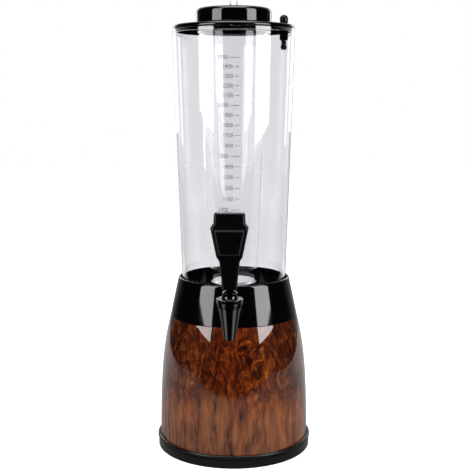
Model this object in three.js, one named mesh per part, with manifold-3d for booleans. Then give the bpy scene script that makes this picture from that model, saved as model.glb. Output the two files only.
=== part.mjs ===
// A table-top drink tower with a clear tank, an ice tube and a lever tap.
// Lengths are in millimetres and +Z is up. The origin is on the floor, on the axis of the tank,
// and the tap faces -Y.

import * as THREE from 'three';
import { mergeVertices } from 'three/addons/utils/BufferGeometryUtils.js';
import Module from 'manifold-3d';

// Facets round a full turn, and steps along a curve
const largeFacets = 36;
const mediumFacets = 20;
const smallFacets = 12;
const curveSteps = 5;

// Gap between neighbouring pieces, and how far a cut runs past the face it opens
const gap = 0.3;
const overrun = 3;

// Foot
const padThickness = 2;
const padProud = 0.6;
const coverFloor = 3.4;
const coverTop = padProud + coverFloor;
const footTop = 14.2;
const footRimWall = 2.25;
const footBeadProud = 0.8;
const footBeadHeight = 4.4;
const footBeadFlat = 2.2;

// Wood-look shell
const shellFootRadius = 82.75;
const shellWall = 2.4;
const shellBottom = coverTop + gap;
const seamHeight = 150;
const shellTop = seamHeight - gap;
const shellLowerShare = 0.58;
const shellUpperShare = 0.231;
const shellLeanShare = 0.252;
const footRadius = shellFootRadius + gap + footRimWall;

// Screws
const screwRadius = 1.6;
const screwHeadRadius = 3.5;
const screwHeadHeight = 1.5;
const screwRecess = 0.7;
const screwRecessHalfWidth = 0.5;
const screwRecessReach = 1.9;
const baseScrewCount = 4;
const baseScrewInset = 10.75;
const baseScrewCircle = shellFootRadius - baseScrewInset;
const padInset = 10;
const padRadius = baseScrewCircle - padInset;
const diagonalShare = 0.5;
const baseScrewLength = 14;
const baseColumnRadius = 4.4;
const baseColumnHeight = 20;
const baseRibHalfWidth = 1.5;
const counterboreDepth = 1.8;
const collarScrewCount = 3;
const collarScrewLength = 9.4;
const collarColumnRadius = 4.2;

// Tank
const tankSink = 3.3;
const tankHeight = 315;
const tankBottom = seamHeight - tankSink;
const tankTop = tankBottom + tankHeight;
const tankFootRadius = 56.2;
const tankTopRadius = 65.9;
const tankWall = 2.2;
const tankFloor = 3;
const tankCorner = 4;
const tankPadRadius = 11;
const tankPadProud = 0.5;
const tankPadDepth = 5.4;
const gasketThickness = 1.4;
const gasketWidth = 8;
const tankTaper = (tankTopRadius - tankFootRadius) / tankHeight;
const gasketOuter = tankFootRadius - tankCorner;
const gasketInner = gasketOuter - gasketWidth;

// Collar
const collarRadius = 70.7;
const collarHeight = 43;
const collarTop = seamHeight + collarHeight;
const collarWall = 2.4;
const tankPlay = 1.4;
const rimThickness = 3;
const rimHeight = 3.5;
const rimFlat = 0.6;
const shelfThickness = 2.6;
const shelfInset = 2;
const collarColumnLength = 5.4;
const flangeThickness = 2.4;
const flangeInset = 4;
const collarLip = tankRadiusAt(collarTop) + tankPlay;
const shoulderRadius = collarLip + rimThickness;
const shoulderHeight = collarTop - rimHeight;
const collarTaper = (collarRadius - shoulderRadius) / (shoulderHeight - seamHeight);
const spigotRadius = collarRadius - shellWall - gap;
const spigotInner = spigotRadius - collarWall;
const shelfTop = tankBottom - gasketThickness - 2 * gap;
const shelfBottom = shelfTop - shelfThickness;
const shelfInner = gasketInner - shelfInset;
const collarScrewCircle = spigotInner - collarColumnRadius;
const flangeTop = shelfBottom - collarColumnLength - gap;
const flangeBottom = flangeTop - flangeThickness;
const flangeInner = collarScrewCircle - screwHeadRadius - flangeInset;

// Tap: distances along Y are counted from the spout's axis towards the tank
const tapRise = 21.3;
const tapHeight = tankBottom + tapRise;
const spoutReach = 103;
const shankRadius = 7.6;
const shankEnd = 0.8;
const bossRadius = 11.8;
const bossProud = 0.9;
const washerThickness = 1.6;
const washerRadius = 11.2;
const tapFlangeRadius = 11.5;
const tapFlangeThickness = 2.5;
const nutHalfFlats = 11;
const nutThickness = 6;
const nutSides = 6;
const barrelRadius = 9.6;
const spoutTopRadius = 11.8;
const spoutTipRadius = 5.9;
const spoutTop = 11.6;
const spoutTip = -22;
const mouthRadius = 3.9;
const chamberRadius = 5.8;
const chamberFloor = -4;
const pocketRadius = 7.4;
const pocketFloor = 10;
const neckRadius = 9.6;
const neckTop = 19;

// Places of the clamped pieces, as distances from the axis of the tank
const tankPadFace = tankRadiusAt(tapHeight + tankPadRadius) + tankPadProud;
const tankPadBack = tankPadFace - tankPadDepth;
const tankWasherStart = tankPadFace + gap;
const bossStart = tankWasherStart + washerThickness + gap;
const bossFace = collarRadiusAt(tapHeight - bossRadius) + bossProud;
const flangeWasherStart = bossFace + gap;
const tapFlangeStart = flangeWasherStart + washerThickness + gap;
const nutWasherStart = tankPadBack - gap - washerThickness;
const nutStart = nutWasherStart - gap - nutThickness;
const shankTip = nutStart - shankEnd;

// Lever, valve and bonnet
const pivotHeight = 16;
const ballRadius = 6.2;
const studRadius = 2.1;
const studLength = 30;
const fingerRadius = 1.5;
const fingerTipRadius = 2;
const bonnetRadius = 13.7;
const bonnetFootRadius = 12.3;
const bonnetTaperHeight = 4.4;
const bonnetHeight = 8.6;
const bonnetEdge = 0.4;
const domeFootRadius = 9.1;
const domeNeckRadius = 7.6;
const domeRadius = 13.4;
const slotPlay = 0.6;
const leverSwingDegrees = 30;
const seatRingInner = 5;
const seatRingThickness = 1.7;
const frictionInner = 5.95;
const frictionThickness = 1.4;
const frictionDrop = 0.7;
const shaftRadius = 4;
const shaftBore = 4.4;
const shaftFront = -7.2;
const shaftGuideEnd = 6.5;
const shaftHalfFlats = 2.9;
const shaftRodRadius = 2;
const fingerPlay = 0.35;
const fingerFlare = 1.25;
const fingerFlareHeight = 0.9;
const fingerRelief = 0.7;
const fingerReliefReach = 11;
const seatPlace = 20;
const sealThickness = 1.6;
const sealRadius = 5.3;
const valveNutThickness = 2;
const valveNutRadius = 4.9;
const rodEnd = 1.3;
const shankBore = 6;

// Handle, as half widths and half depths up from its foot
const handleLift = 0.5;
const handleChamfer = 1.8;
const stemFootHalfWidth = 7.2;
const stemFootHalfDepth = 5.2;
const stemHeight = 29.1;
const stemTopHalfWidth = 10.35;
const stemTopHalfDepth = 5.8;
const chinHeight = 4.8;
const chinHalfWidth = 13.2;
const chinHalfDepth = 7.6;
const paddleBevel = 2;
const paddleHeight = 29.6;
const paddleHalfWidth = 19.15;
const paddleHalfDepth = 9;
const paddleTopHalfDepth = 8.2;
const flareHeight = 4.6;
const headHeight = 10.3;
const headFootHalfWidth = 15.9;
const headFootHalfDepth = 7.4;
const headTopHalfWidth = 15.5;
const headTopHalfDepth = 6.8;
const headEdge = 1.2;
const panelMargin = 1.4;
const panelBevel = 1.5;
const panelProud = 0.9;

// Lid
const lidRadius = 65.5;
const lidPlate = 2.6;
const lidSkirtDepth = 3.4;
const lidSkirtWall = 2.4;
const lidShoulderHeight = 4.2;
const lidShoulderWidth = 4.8;
const lidEdgeHeight = 1.2;
const lidEdgeChamfer = 0.6;
const lidRise = 1;
const lidNeckWall = 2.2;
const lidNeckDepth = 8.4;
const lidNeckGap = 0.4;
const ventReach = 53.9;
const ventBossRadius = 4.5;
const ventBossBottom = -11.5;
const ventStemRadius = 2.8;
const ventFootRadius = 3.6;
const ventHeadRadius = 4.6;
const ventHeadHeight = 5.6;
const ventTravel = 5.2;
const ventBarbRadius = 3.8;
const ventBarbHeight = 2.2;
const ventTipRadius = 2.2;
const ventTipHeight = 2.8;
const ventGrooveDepth = 0.9;
const ventGrooveHalfWidth = 1;

// Ice tube and cap
const iceDepth = 275.7;
const iceFootRadius = 25.6;
const iceTopRadius = 36.6;
const iceWall = 2;
const iceFloor = 2.5;
const iceCorner = 2;
const iceNeckStep = 1.55;
const iceNeckWall = 2;
const iceNeckHeight = 10.8;
const tubeSealThickness = 0.7;
const capWall = 1.8;
const capPlay = 0.4;
const capDrop = 0.2;
const capWallHeight = 10.8;
const capDomeHeight = 5.2;
const capRoof = 2.2;
const capCrown = 0.4;
const capFlatShare = 0.766;
const capStopWidth = 2;
const loopHalfWidth = 3.5;
const loopStraight = 11;
const loopWireRadius = 0.5;
const loopFootRadius = 2.3;
const loopFootHeight = 7;
const loopPinRadius = 0.5;

// Heights that the lid carries
const lipBottom = gap;
const lidShoulderTop = lipBottom + lidShoulderHeight;
const lidTop = lidShoulderTop + lidRise;
const iceSeat = lidTop + tubeSealThickness + 2 * gap;
const iceTaper = (iceTopRadius - iceFootRadius) / iceDepth;
const lidHoleRadius = iceRadiusAt(iceSeat) + lidNeckGap;
const iceNeckOuter = iceRadiusAt(iceSeat) + iceNeckStep;
const capInner = iceNeckOuter + capPlay;
const capRadius = capInner + capWall;

// The radius of the tank's outer face at a height above the floor
function tankRadiusAt(height) {
  return tankFootRadius + tankTaper * (height - tankBottom);
}

// The radius of the collar's cone at a height above the floor
function collarRadiusAt(height) {
  return collarRadius - collarTaper * (height - seamHeight);
}

// The radius of the ice tube's outer face at a height above the tank's rim
function iceRadiusAt(height) {
  return iceTopRadius + iceTaper * height;
}

const wasm = await Module();
wasm.setup();

// A closed geometry as a solid for cutting and joining
function toSolid(geometry) {
  const bare = geometry.clone();
  bare.deleteAttribute('normal');
  bare.deleteAttribute('uv');
  const merged = mergeVertices(bare);
  const corners = merged.index.array;
  const kept = [];
  for (let i = 0; i < corners.length; i += 3) {
    const [a, b, c] = corners.slice(i, i + 3);
    if (a !== b && b !== c && c !== a) kept.push(a, b, c);
  }
  return new wasm.Manifold(new wasm.Mesh({
    numProp: 3,
    vertProperties: new Float32Array(merged.attributes.position.array),
    triVerts: new Uint32Array(kept),
  }));
}

function toGeometry(solid) {
  const mesh = solid.getMesh();
  const geometry = new THREE.BufferGeometry();
  geometry.setAttribute('position', new THREE.BufferAttribute(mesh.vertProperties, 3));
  geometry.setIndex(new THREE.BufferAttribute(mesh.triVerts, 1));
  geometry.computeVertexNormals();
  return geometry;
}

// Joins the geometries of the second list to the first one, then cuts those of the third
function shape(base, joined = [], cut = []) {
  let solid = toSolid(base);
  for (const geometry of joined) solid = solid.add(toSolid(geometry));
  for (const geometry of cut) solid = solid.subtract(toSolid(geometry));
  return toGeometry(solid);
}

// A body of revolution about Z from [radius, height] points, starting and ending on the axis
function turned(points, facets) {
  const profile = points.map(([radius, height]) => new THREE.Vector2(radius, height));
  return new THREE.LatheGeometry(profile, facets).rotateX(Math.PI / 2);
}

// The same for a profile that closes on itself round the axis
function turnedRing(points, facets) {
  return turned([...points, points[0]], facets);
}

function washer(inner, outer, from, to, facets) {
  return turnedRing([[inner, from], [outer, from], [outer, to], [inner, to]], facets);
}

// A cylinder on Z from one height to another
function rod(radius, from, to, facets, topRadius = radius) {
  const geometry = new THREE.CylinderGeometry(topRadius, radius, to - from, facets);
  return geometry.rotateX(Math.PI / 2).translate(0, 0, (from + to) / 2);
}

// A block between two corners
function block([x0, y0, z0], [x1, y1, z1]) {
  const geometry = new THREE.BoxGeometry(x1 - x0, y1 - y0, z1 - z0);
  return geometry.translate((x0 + x1) / 2, (y0 + y1) / 2, (z0 + z1) / 2);
}

// Turns a geometry that runs up Z so that it runs along +Y
function alongY(geometry) {
  return geometry.rotateX(-Math.PI / 2);
}

// Points on the quadratic curve between two [radius, height] points, without the first
function bend(start, control, end) {
  const corners = [start, control, end].map(([r, h]) => new THREE.Vector2(r, h));
  const curve = new THREE.QuadraticBezierCurve(...corners);
  return curve.getPoints(curveSteps).slice(1).map((p) => [p.x, p.y]);
}

// Evenly spaced angles round Z
function around(count, turnShare = 0) {
  return Array.from({ length: count }, (_, i) => (2 * Math.PI * (i + turnShare)) / count);
}

// Finishes of the pieces
const blackGloss = new THREE.MeshStandardMaterial({ color: 0x08080a, roughness: 0.12 });
const blackMatt = new THREE.MeshStandardMaterial({ color: 0x101012, roughness: 0.5 });
const burlWood = new THREE.MeshStandardMaterial({ color: 0x6a3114, roughness: 0.2 });
const blackRubber = new THREE.MeshStandardMaterial({ color: 0x1a1a1a, roughness: 0.85 });
const paleSilicone = new THREE.MeshStandardMaterial({ color: 0xd8d8d6, roughness: 0.6 });
const clearPlastic = new THREE.MeshStandardMaterial({
  color: 0xe8e8f0, roughness: 0.05, transparent: true, opacity: 0.3,
});
const steel = new THREE.MeshStandardMaterial({ color: 0xb8b8bc, roughness: 0.3, metalness: 1 });

const tower = new THREE.Group();
const tap = new THREE.Group();
const lever = new THREE.Group();
const lidGroup = new THREE.Group();
const vent = new THREE.Group();
const cap = new THREE.Group();
tap.position.set(0, -spoutReach, tapHeight);
lever.position.z = pivotHeight;
lidGroup.position.z = tankTop;
vent.position.x = ventReach;
cap.position.z = iceSeat + capDrop;
tower.add(tap, lidGroup);
tap.add(lever);
lidGroup.add(vent, cap);

function piece(name, geometry, material, parent = tower) {
  const mesh = new THREE.Mesh(geometry, material);
  mesh.name = name;
  parent.add(mesh);
  return mesh;
}

// Foot
function padSolid() {
  return rod(padRadius, 0, padThickness, largeFacets);
}

function coverSolid() {
  const rimInner = shellFootRadius + gap;
  const padRecess = padThickness + gap;
  const beadRadius = footRadius + footBeadProud;
  const beadBottom = footTop - footBeadHeight;
  const beadStart = [beadRadius, footTop - footBeadFlat];
  const beadEnd = [(rimInner + footRadius) / 2, footTop];
  const body = turned([
    [0, padRecess],
    [padRadius + gap, padRecess],
    [padRadius + gap, padProud],
    [footRadius, padProud],
    [footRadius, beadBottom],
    [beadRadius, beadBottom + footBeadProud],
    beadStart,
    ...bend(beadStart, [beadRadius, footTop], beadEnd),
    [rimInner, footTop],
    [rimInner, coverTop],
    [0, coverTop],
  ], largeFacets);
  const holes = [];
  for (const angle of around(baseScrewCount, diagonalShare)) {
    const recess = rod(screwHeadRadius + gap, padProud - overrun, padProud + counterboreDepth, smallFacets);
    const hole = rod(screwRadius + gap, padProud, coverTop + overrun, smallFacets);
    holes.push(atAngle(recess, baseScrewCircle, angle), atAngle(hole, baseScrewCircle, angle));
  }
  return shape(body, [], holes);
}

// Moves a geometry out along +X and round Z
function atAngle(geometry, radius, angle) {
  return geometry.translate(radius, 0, 0).rotateZ(angle);
}

// A pan-headed screw with its head down, from the top of the head
function screwSolid(length) {
  const body = turned([
    [0, -screwHeadHeight],
    [screwHeadRadius, -screwHeadHeight],
    [screwHeadRadius, 0],
    [screwRadius, 0],
    [screwRadius, length],
    [0, length],
  ], smallFacets);
  const low = -screwHeadHeight - overrun;
  const high = screwRecess - screwHeadHeight;
  const long = screwRecessReach;
  const thin = screwRecessHalfWidth;
  return shape(body, [], [
    block([-long, -thin, low], [long, thin, high]),
    block([-thin, -long, low], [thin, long, high]),
  ]);
}

function addScrews(label, count, circle, height, length, turnShare = 0) {
  around(count, turnShare).forEach((angle, i) => {
    const screw = piece(`${label}_${i + 1}`, screwSolid(length), steel);
    screw.position.set(circle * Math.cos(angle), circle * Math.sin(angle), height);
  });
}

// Outline of the wood-look shell, as [radius, height] points upwards
function shellOutline(inset) {
  const rise = shellTop - shellBottom;
  const low = shellFootRadius - inset;
  const high = collarRadius - inset;
  const curve = new THREE.CubicBezierCurve(
    new THREE.Vector2(low, shellBottom),
    new THREE.Vector2(low, shellBottom + shellLowerShare * rise),
    new THREE.Vector2(high + shellLeanShare * shellUpperShare * rise, shellTop - shellUpperShare * rise),
    new THREE.Vector2(high, shellTop),
  );
  return curve.getPoints(2 * curveSteps).map((p) => [p.x, p.y]);
}

// The radius of an outline of [radius, height] points at a height
function outlineRadius(outline, height) {
  const above = outline.findIndex(([, h]) => h > height);
  const [[r0, h0], [r1, h1]] = outline.slice(above - 1, above + 1);
  return r0 + ((r1 - r0) * (height - h0)) / (h1 - h0);
}

function shellSolid() {
  const outer = shellOutline(0);
  const inner = shellOutline(shellWall);
  const middle = shellOutline(shellWall / 2);
  const wall = turnedRing([...outer, ...inner.reverse()], largeFacets);
  const columnTop = shellBottom + baseColumnHeight;
  const joined = [
    turnedRing([
      [flangeInner, flangeBottom],
      [outlineRadius(middle, flangeBottom), flangeBottom],
      [outlineRadius(middle, flangeTop), flangeTop],
      [flangeInner, flangeTop],
    ], largeFacets),
  ];
  const cut = [];
  for (const angle of around(baseScrewCount, diagonalShare)) {
    const column = rod(baseColumnRadius, shellBottom, columnTop, smallFacets);
    const hole = rod(screwRadius + gap, shellBottom - overrun, shellBottom + baseScrewLength, smallFacets);
    const ribEnd = outlineRadius(middle, columnTop) * Math.cos(Math.PI / largeFacets);
    const rib = block(
      [baseScrewCircle, -baseRibHalfWidth, shellBottom],
      [ribEnd, baseRibHalfWidth, columnTop],
    );
    joined.push(atAngle(column, baseScrewCircle, angle), rib.rotateZ(angle));
    cut.push(atAngle(hole, baseScrewCircle, angle));
  }
  for (const angle of around(collarScrewCount)) {
    const hole = rod(screwRadius + gap, flangeBottom - overrun, flangeTop + overrun, smallFacets);
    cut.push(atAngle(hole, collarScrewCircle, angle));
  }
  return shape(wall, joined, cut);
}

// Collar with the shelf under the tank and the boss for the tap
function collarSolid() {
  const shoulder = [shoulderRadius, shoulderHeight];
  const rimControl = [shoulderRadius - collarTaper * rimHeight, collarTop];
  const innerMeet = seamHeight + (collarRadius - collarWall - spigotInner) / collarTaper;
  const body = turnedRing([
    [shelfInner, shelfBottom],
    [spigotRadius, shelfBottom],
    [spigotRadius, seamHeight],
    [collarRadius, seamHeight],
    shoulder,
    ...bend(shoulder, rimControl, [collarLip + rimFlat, collarTop]),
    [collarLip, collarTop - rimFlat],
    [collarLip, shoulderHeight],
    [shoulderRadius - collarWall, shoulderHeight],
    [spigotInner, innerMeet],
    [spigotInner, shelfTop],
    [shelfInner, shelfTop],
  ], largeFacets);
  const boss = alongY(rod(bossRadius, -bossFace, -bossStart, mediumFacets));
  const bossHole = alongY(rod(shankRadius + gap, -bossFace - overrun, -bossStart + overrun, mediumFacets));
  const joined = [boss.translate(0, 0, tapHeight)];
  const cut = [bossHole.translate(0, 0, tapHeight)];
  const columnBottom = shelfBottom - collarColumnLength;
  const columnTop = shelfBottom + shelfThickness / 2;
  for (const angle of around(collarScrewCount)) {
    const column = rod(collarColumnRadius, columnBottom, columnTop, smallFacets);
    const hole = rod(screwRadius + gap, columnBottom - overrun, columnTop, smallFacets);
    joined.push(atAngle(column, collarScrewCircle, angle));
    cut.push(atAngle(hole, collarScrewCircle, angle));
  }
  return shape(body, joined, cut);
}

// Tank, with a flat pad inside and out where the tap's shank goes through
function tankSolid() {
  const cornerTop = tankBottom + tankCorner;
  const floorTop = tankBottom + tankFloor;
  const cornerStart = [tankFootRadius - tankCorner, tankBottom];
  const cornerEnd = [tankRadiusAt(cornerTop), cornerTop];
  const body = turned([
    [0, tankBottom],
    cornerStart,
    ...bend(cornerStart, [tankFootRadius, tankBottom], cornerEnd),
    [tankTopRadius, tankTop],
    [tankTopRadius - tankWall, tankTop],
    [tankRadiusAt(cornerTop) - tankWall, cornerTop],
    [tankFootRadius - tankCorner, floorTop],
    [0, floorTop],
  ], largeFacets);
  const pad = alongY(rod(tankPadRadius, -tankPadFace, -tankPadBack, mediumFacets));
  const hole = alongY(rod(shankRadius + gap, -tankPadFace - overrun, -tankPadBack + overrun, mediumFacets));
  return shape(body, [pad.translate(0, 0, tapHeight)], [hole.translate(0, 0, tapHeight)]);
}

function gasketSolid() {
  return washer(gasketInner, gasketOuter, shelfTop + gap, tankBottom - gap, largeFacets);
}

// A rubber ring on the shank, from its distance to the tank's axis
function shankWasher(start) {
  const near = spoutReach - start - washerThickness;
  return alongY(washer(shankRadius + gap, washerRadius, near, near + washerThickness, mediumFacets));
}

function tapNutSolid() {
  const corner = nutHalfFlats / Math.cos(Math.PI / nutSides);
  const outline = new THREE.Shape(around(nutSides).map((angle) => (
    new THREE.Vector2(corner * Math.cos(angle), corner * Math.sin(angle))
  )));
  const near = spoutReach - nutStart - nutThickness;
  const body = new THREE.ExtrudeGeometry(outline, { depth: nutThickness, bevelEnabled: false });
  const hole = rod(shankRadius + gap, -overrun, nutThickness + overrun, mediumFacets);
  return alongY(shape(body, [], [hole])).translate(0, near, 0);
}

// Spout, barrel, flange and shank in one moulding
function tapBodySolid() {
  const flangeNear = spoutReach - tapFlangeStart - tapFlangeThickness;
  const flangeFar = spoutReach - tapFlangeStart;
  const shankFar = spoutReach - shankTip;
  const spout = turned([
    [0, spoutTip],
    [spoutTipRadius, spoutTip],
    [spoutTopRadius, spoutTop],
    [neckRadius, spoutTop],
    [neckRadius, neckTop],
    [0, neckTop],
  ], mediumFacets);
  const passage = turned([
    [0, spoutTip - overrun],
    [mouthRadius, spoutTip - overrun],
    [mouthRadius, spoutTip],
    [chamberRadius, chamberFloor],
    [chamberRadius, pocketFloor],
    [pocketRadius, pocketFloor],
    [pocketRadius, neckTop + overrun],
    [0, neckTop + overrun],
  ], mediumFacets);
  const reliefHalf = fingerRadius + fingerRelief;
  return shape(spout, [
    alongY(rod(barrelRadius, 0, flangeNear, mediumFacets)),
    alongY(rod(tapFlangeRadius, flangeNear, flangeFar, mediumFacets)),
    alongY(rod(shankRadius, flangeNear, shankFar, mediumFacets)),
  ], [
    passage,
    alongY(rod(shaftBore, shaftFront - gap, seatPlace + overrun, mediumFacets)),
    alongY(rod(shankBore, seatPlace, shankFar + overrun, mediumFacets)),
    block([-reliefHalf, 0, 0], [reliefHalf, fingerReliefReach, pocketFloor]),
  ]);
}

// Ring nut with a dome over the ball, slotted for the lever's swing
function bonnetSolid() {
  const ringBottom = spoutTop + gap;
  const ringTop = ringBottom + bonnetHeight;
  const socket = ballRadius + gap;
  const pocketTop = neckTop + gap + frictionDrop;
  const socketArc = [];
  const domeArc = [];
  const socketAngle = Math.acos((pocketTop - pivotHeight) / socket);
  const domeAngle = Math.asin(domeNeckRadius / domeRadius);
  for (let i = 0; i <= curveSteps; i += 1) {
    const a = (socketAngle * i) / curveSteps;
    const b = (domeAngle * i) / curveSteps;
    socketArc.push([socket * Math.sin(a), pivotHeight + socket * Math.cos(a)]);
    domeArc.unshift([domeRadius * Math.sin(b), pivotHeight + domeRadius * Math.cos(b)]);
  }
  const body = turned([
    ...socketArc,
    [pocketRadius, pocketTop],
    [pocketRadius, neckTop + gap],
    [neckRadius + gap, neckTop + gap],
    [neckRadius + gap, ringBottom],
    [bonnetFootRadius, ringBottom],
    [bonnetRadius, ringBottom + bonnetTaperHeight],
    [bonnetRadius, ringTop - bonnetEdge],
    [bonnetRadius - bonnetEdge, ringTop],
    [domeFootRadius, ringTop],
    ...domeArc,
  ], mediumFacets);
  const half = studRadius + slotPlay;
  const far = domeRadius + overrun + half;
  const swing = THREE.MathUtils.degToRad(leverSwingDegrees);
  const leanY = -Math.sin(swing);
  const leanZ = Math.cos(swing);
  const outline = new THREE.Shape();
  outline.moveTo(half, 0);
  outline.lineTo(half, far);
  outline.lineTo(leanY * far, far);
  outline.lineTo(leanY * far - leanZ * half, leanZ * far + leanY * half);
  outline.lineTo(-leanZ * half, leanY * half);
  const slot = new THREE.ExtrudeGeometry(outline, { depth: 2 * half, bevelEnabled: false });
  const across = new THREE.Matrix4().makeBasis(
    new THREE.Vector3(0, 1, 0),
    new THREE.Vector3(0, 0, 1),
    new THREE.Vector3(1, 0, 0),
  );
  slot.translate(0, 0, -half).applyMatrix4(across).translate(0, 0, pivotHeight);
  return shape(body, [], [slot]);
}

function leverSolid() {
  const ball = new THREE.SphereGeometry(ballRadius, mediumFacets, smallFacets).rotateX(Math.PI / 2);
  const tip = new THREE.SphereGeometry(fingerTipRadius, smallFacets, smallFacets / 2);
  return shape(ball, [
    rod(studRadius, 0, studLength, smallFacets),
    rod(fingerRadius, -pivotHeight, 0, smallFacets),
    tip.rotateX(Math.PI / 2).translate(0, 0, -pivotHeight),
  ]);
}

// Handle: eight-cornered sections of [height, half width, half depth], joined upwards
function handleSolid() {
  const foot = domeRadius + handleLift;
  const stemTop = foot + stemHeight;
  const chinTop = stemTop + chinHeight;
  const paddleFoot = chinTop + paddleBevel;
  const paddleTop = chinTop + paddleHeight;
  const faceTop = paddleTop - paddleBevel;
  const headFoot = paddleTop + flareHeight;
  const headTop = headFoot + headHeight;
  const widthAt = (height) => (
    chinHalfWidth + ((paddleHalfWidth - chinHalfWidth) * (height - chinTop)) / paddleHeight
  );
  const sections = [
    [foot, stemFootHalfWidth, stemFootHalfDepth],
    [stemTop, stemTopHalfWidth, stemTopHalfDepth],
    [chinTop, chinHalfWidth, chinHalfDepth],
    [paddleFoot, widthAt(paddleFoot), paddleHalfDepth],
    [faceTop, widthAt(faceTop), paddleHalfDepth],
    [paddleTop, paddleHalfWidth, paddleTopHalfDepth],
    [headFoot, headFootHalfWidth, headFootHalfDepth],
    [headTop - headEdge, headTopHalfWidth, headTopHalfDepth],
    [headTop, headTopHalfWidth - headEdge, headTopHalfDepth - headEdge],
  ];
  const c = handleChamfer;
  const body = lofted(sections.map(([height, w, d]) => [
    [w - c, -d, height], [w, c - d, height], [w, d - c, height], [w - c, d, height],
    [c - w, d, height], [-w, d - c, height], [-w, c - d, height], [c - w, -d, height],
  ]));
  const panel = lofted([
    panelOutline(paddleFoot, faceTop, widthAt, 0, panelProud - paddleHalfDepth),
    panelOutline(paddleFoot, faceTop, widthAt, 0, -paddleHalfDepth),
    panelOutline(paddleFoot, faceTop, widthAt, panelBevel, -paddleHalfDepth - panelProud),
  ]);
  const socket = rod(studRadius + gap, foot - overrun, studLength + gap, smallFacets);
  return shape(body, [panel], [socket]);
}

// Corners of the raised panel on the paddle's face, drawn in by an inset
function panelOutline(low, high, widthAt, inset, depth) {
  const bottom = low + inset;
  const top = high - inset;
  const bottomHalf = widthAt(bottom) - handleChamfer - panelMargin - inset;
  const topHalf = widthAt(top) - handleChamfer - panelMargin - inset;
  return [
    [-bottomHalf, depth, bottom], [bottomHalf, depth, bottom],
    [topHalf, depth, top], [-topHalf, depth, top],
  ];
}

// A solid through closed outlines of as many corners each, which run counter-clockwise as seen
// from where the solid ends
function lofted(outlines) {
  const positions = outlines.flat(2);
  const sides = outlines[0].length;
  const last = sides * (outlines.length - 1);
  const index = [];
  for (let row = 0; row < last; row += sides) {
    for (let i = 0; i < sides; i += 1) {
      const next = (i + 1) % sides;
      index.push(row + i, row + next, row + sides + next);
      index.push(row + i, row + sides + next, row + sides + i);
    }
  }
  for (let i = 1; i < sides - 1; i += 1) {
    index.push(0, i + 1, i);
    index.push(last, last + i, last + i + 1);
  }
  const geometry = new THREE.BufferGeometry();
  geometry.setAttribute('position', new THREE.Float32BufferAttribute(positions, 3));
  geometry.setIndex(index);
  return geometry;
}

function ballSeatSolid() {
  const start = pocketFloor + gap;
  return washer(seatRingInner, pocketRadius - gap, start, start + seatRingThickness, mediumFacets);
}

function frictionWasherSolid() {
  const end = neckTop + frictionDrop;
  return washer(frictionInner, pocketRadius - gap, end - frictionThickness, end, mediumFacets);
}

// Shaft with flats above and below, and a slot for the finger that widens upwards to the front
function shaftSolid() {
  const rodTip = seatPlace + 3 * gap + sealThickness + valveNutThickness + rodEnd;
  const wide = shaftRadius + overrun;
  const half = fingerTipRadius + fingerPlay;
  return shape(alongY(rod(shaftRadius, shaftFront, shaftGuideEnd, mediumFacets)), [
    alongY(rod(shaftRodRadius, 0, rodTip, smallFacets)),
  ], [
    block([-wide, shaftFront - overrun, shaftHalfFlats], [wide, shaftGuideEnd + overrun, wide]),
    block([-wide, shaftFront - overrun, -wide], [wide, shaftGuideEnd + overrun, -shaftHalfFlats]),
    block([-half, -half, -wide], [half, half, wide]),
    block([-half, -half - fingerFlare, fingerFlareHeight], [half, half, wide]),
  ]);
}

function sealSolid() {
  const near = seatPlace + gap;
  return alongY(washer(shaftRodRadius + gap, sealRadius, near, near + sealThickness, mediumFacets));
}

function valveNutSolid() {
  const near = seatPlace + sealThickness + 2 * gap;
  const far = near + valveNutThickness;
  return alongY(washer(shaftRodRadius + gap, valveNutRadius, near, far, smallFacets));
}

// Lid, with heights counted from the rim of the tank
function lidSolid() {
  const skirtOuter = tankTopRadius - tankWall - gap;
  const skirtInner = skirtOuter - lidSkirtWall;
  const neckOuter = lidHoleRadius + lidNeckWall;
  const edge = [lidRadius, lipBottom + lidEdgeHeight];
  const shoulder = [lidRadius - lidShoulderWidth, lidShoulderTop];
  const body = turnedRing([
    [lidHoleRadius, lidTop - lidNeckDepth],
    [neckOuter, lidTop - lidNeckDepth],
    [neckOuter, lidTop - lidPlate],
    [skirtInner, lidShoulderTop - lidPlate],
    [skirtInner, -lidSkirtDepth],
    [skirtOuter, -lidSkirtDepth],
    [skirtOuter, lipBottom],
    [lidRadius - lidEdgeChamfer, lipBottom],
    [lidRadius, lipBottom + lidEdgeChamfer],
    edge,
    ...bend(edge, [lidRadius, lidShoulderTop], shoulder),
    [lidHoleRadius, lidTop],
  ], largeFacets);
  const bossTop = lidShoulderTop - lidPlate / 2;
  const boss = rod(ventBossRadius, ventBossBottom, bossTop, mediumFacets);
  const hole = rod(ventStemRadius + gap, ventBossBottom - overrun, lidTop + overrun, mediumFacets);
  return shape(body, [boss.translate(ventReach, 0, 0)], [hole.translate(ventReach, 0, 0)]);
}

// The lid's upper face where the vent goes through
function ventSeat() {
  const inner = ventReach - ventFootRadius;
  const span = lidRadius - lidShoulderWidth - lidHoleRadius;
  return lidTop - (lidRise * (inner - lidHoleRadius)) / span + gap;
}

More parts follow.
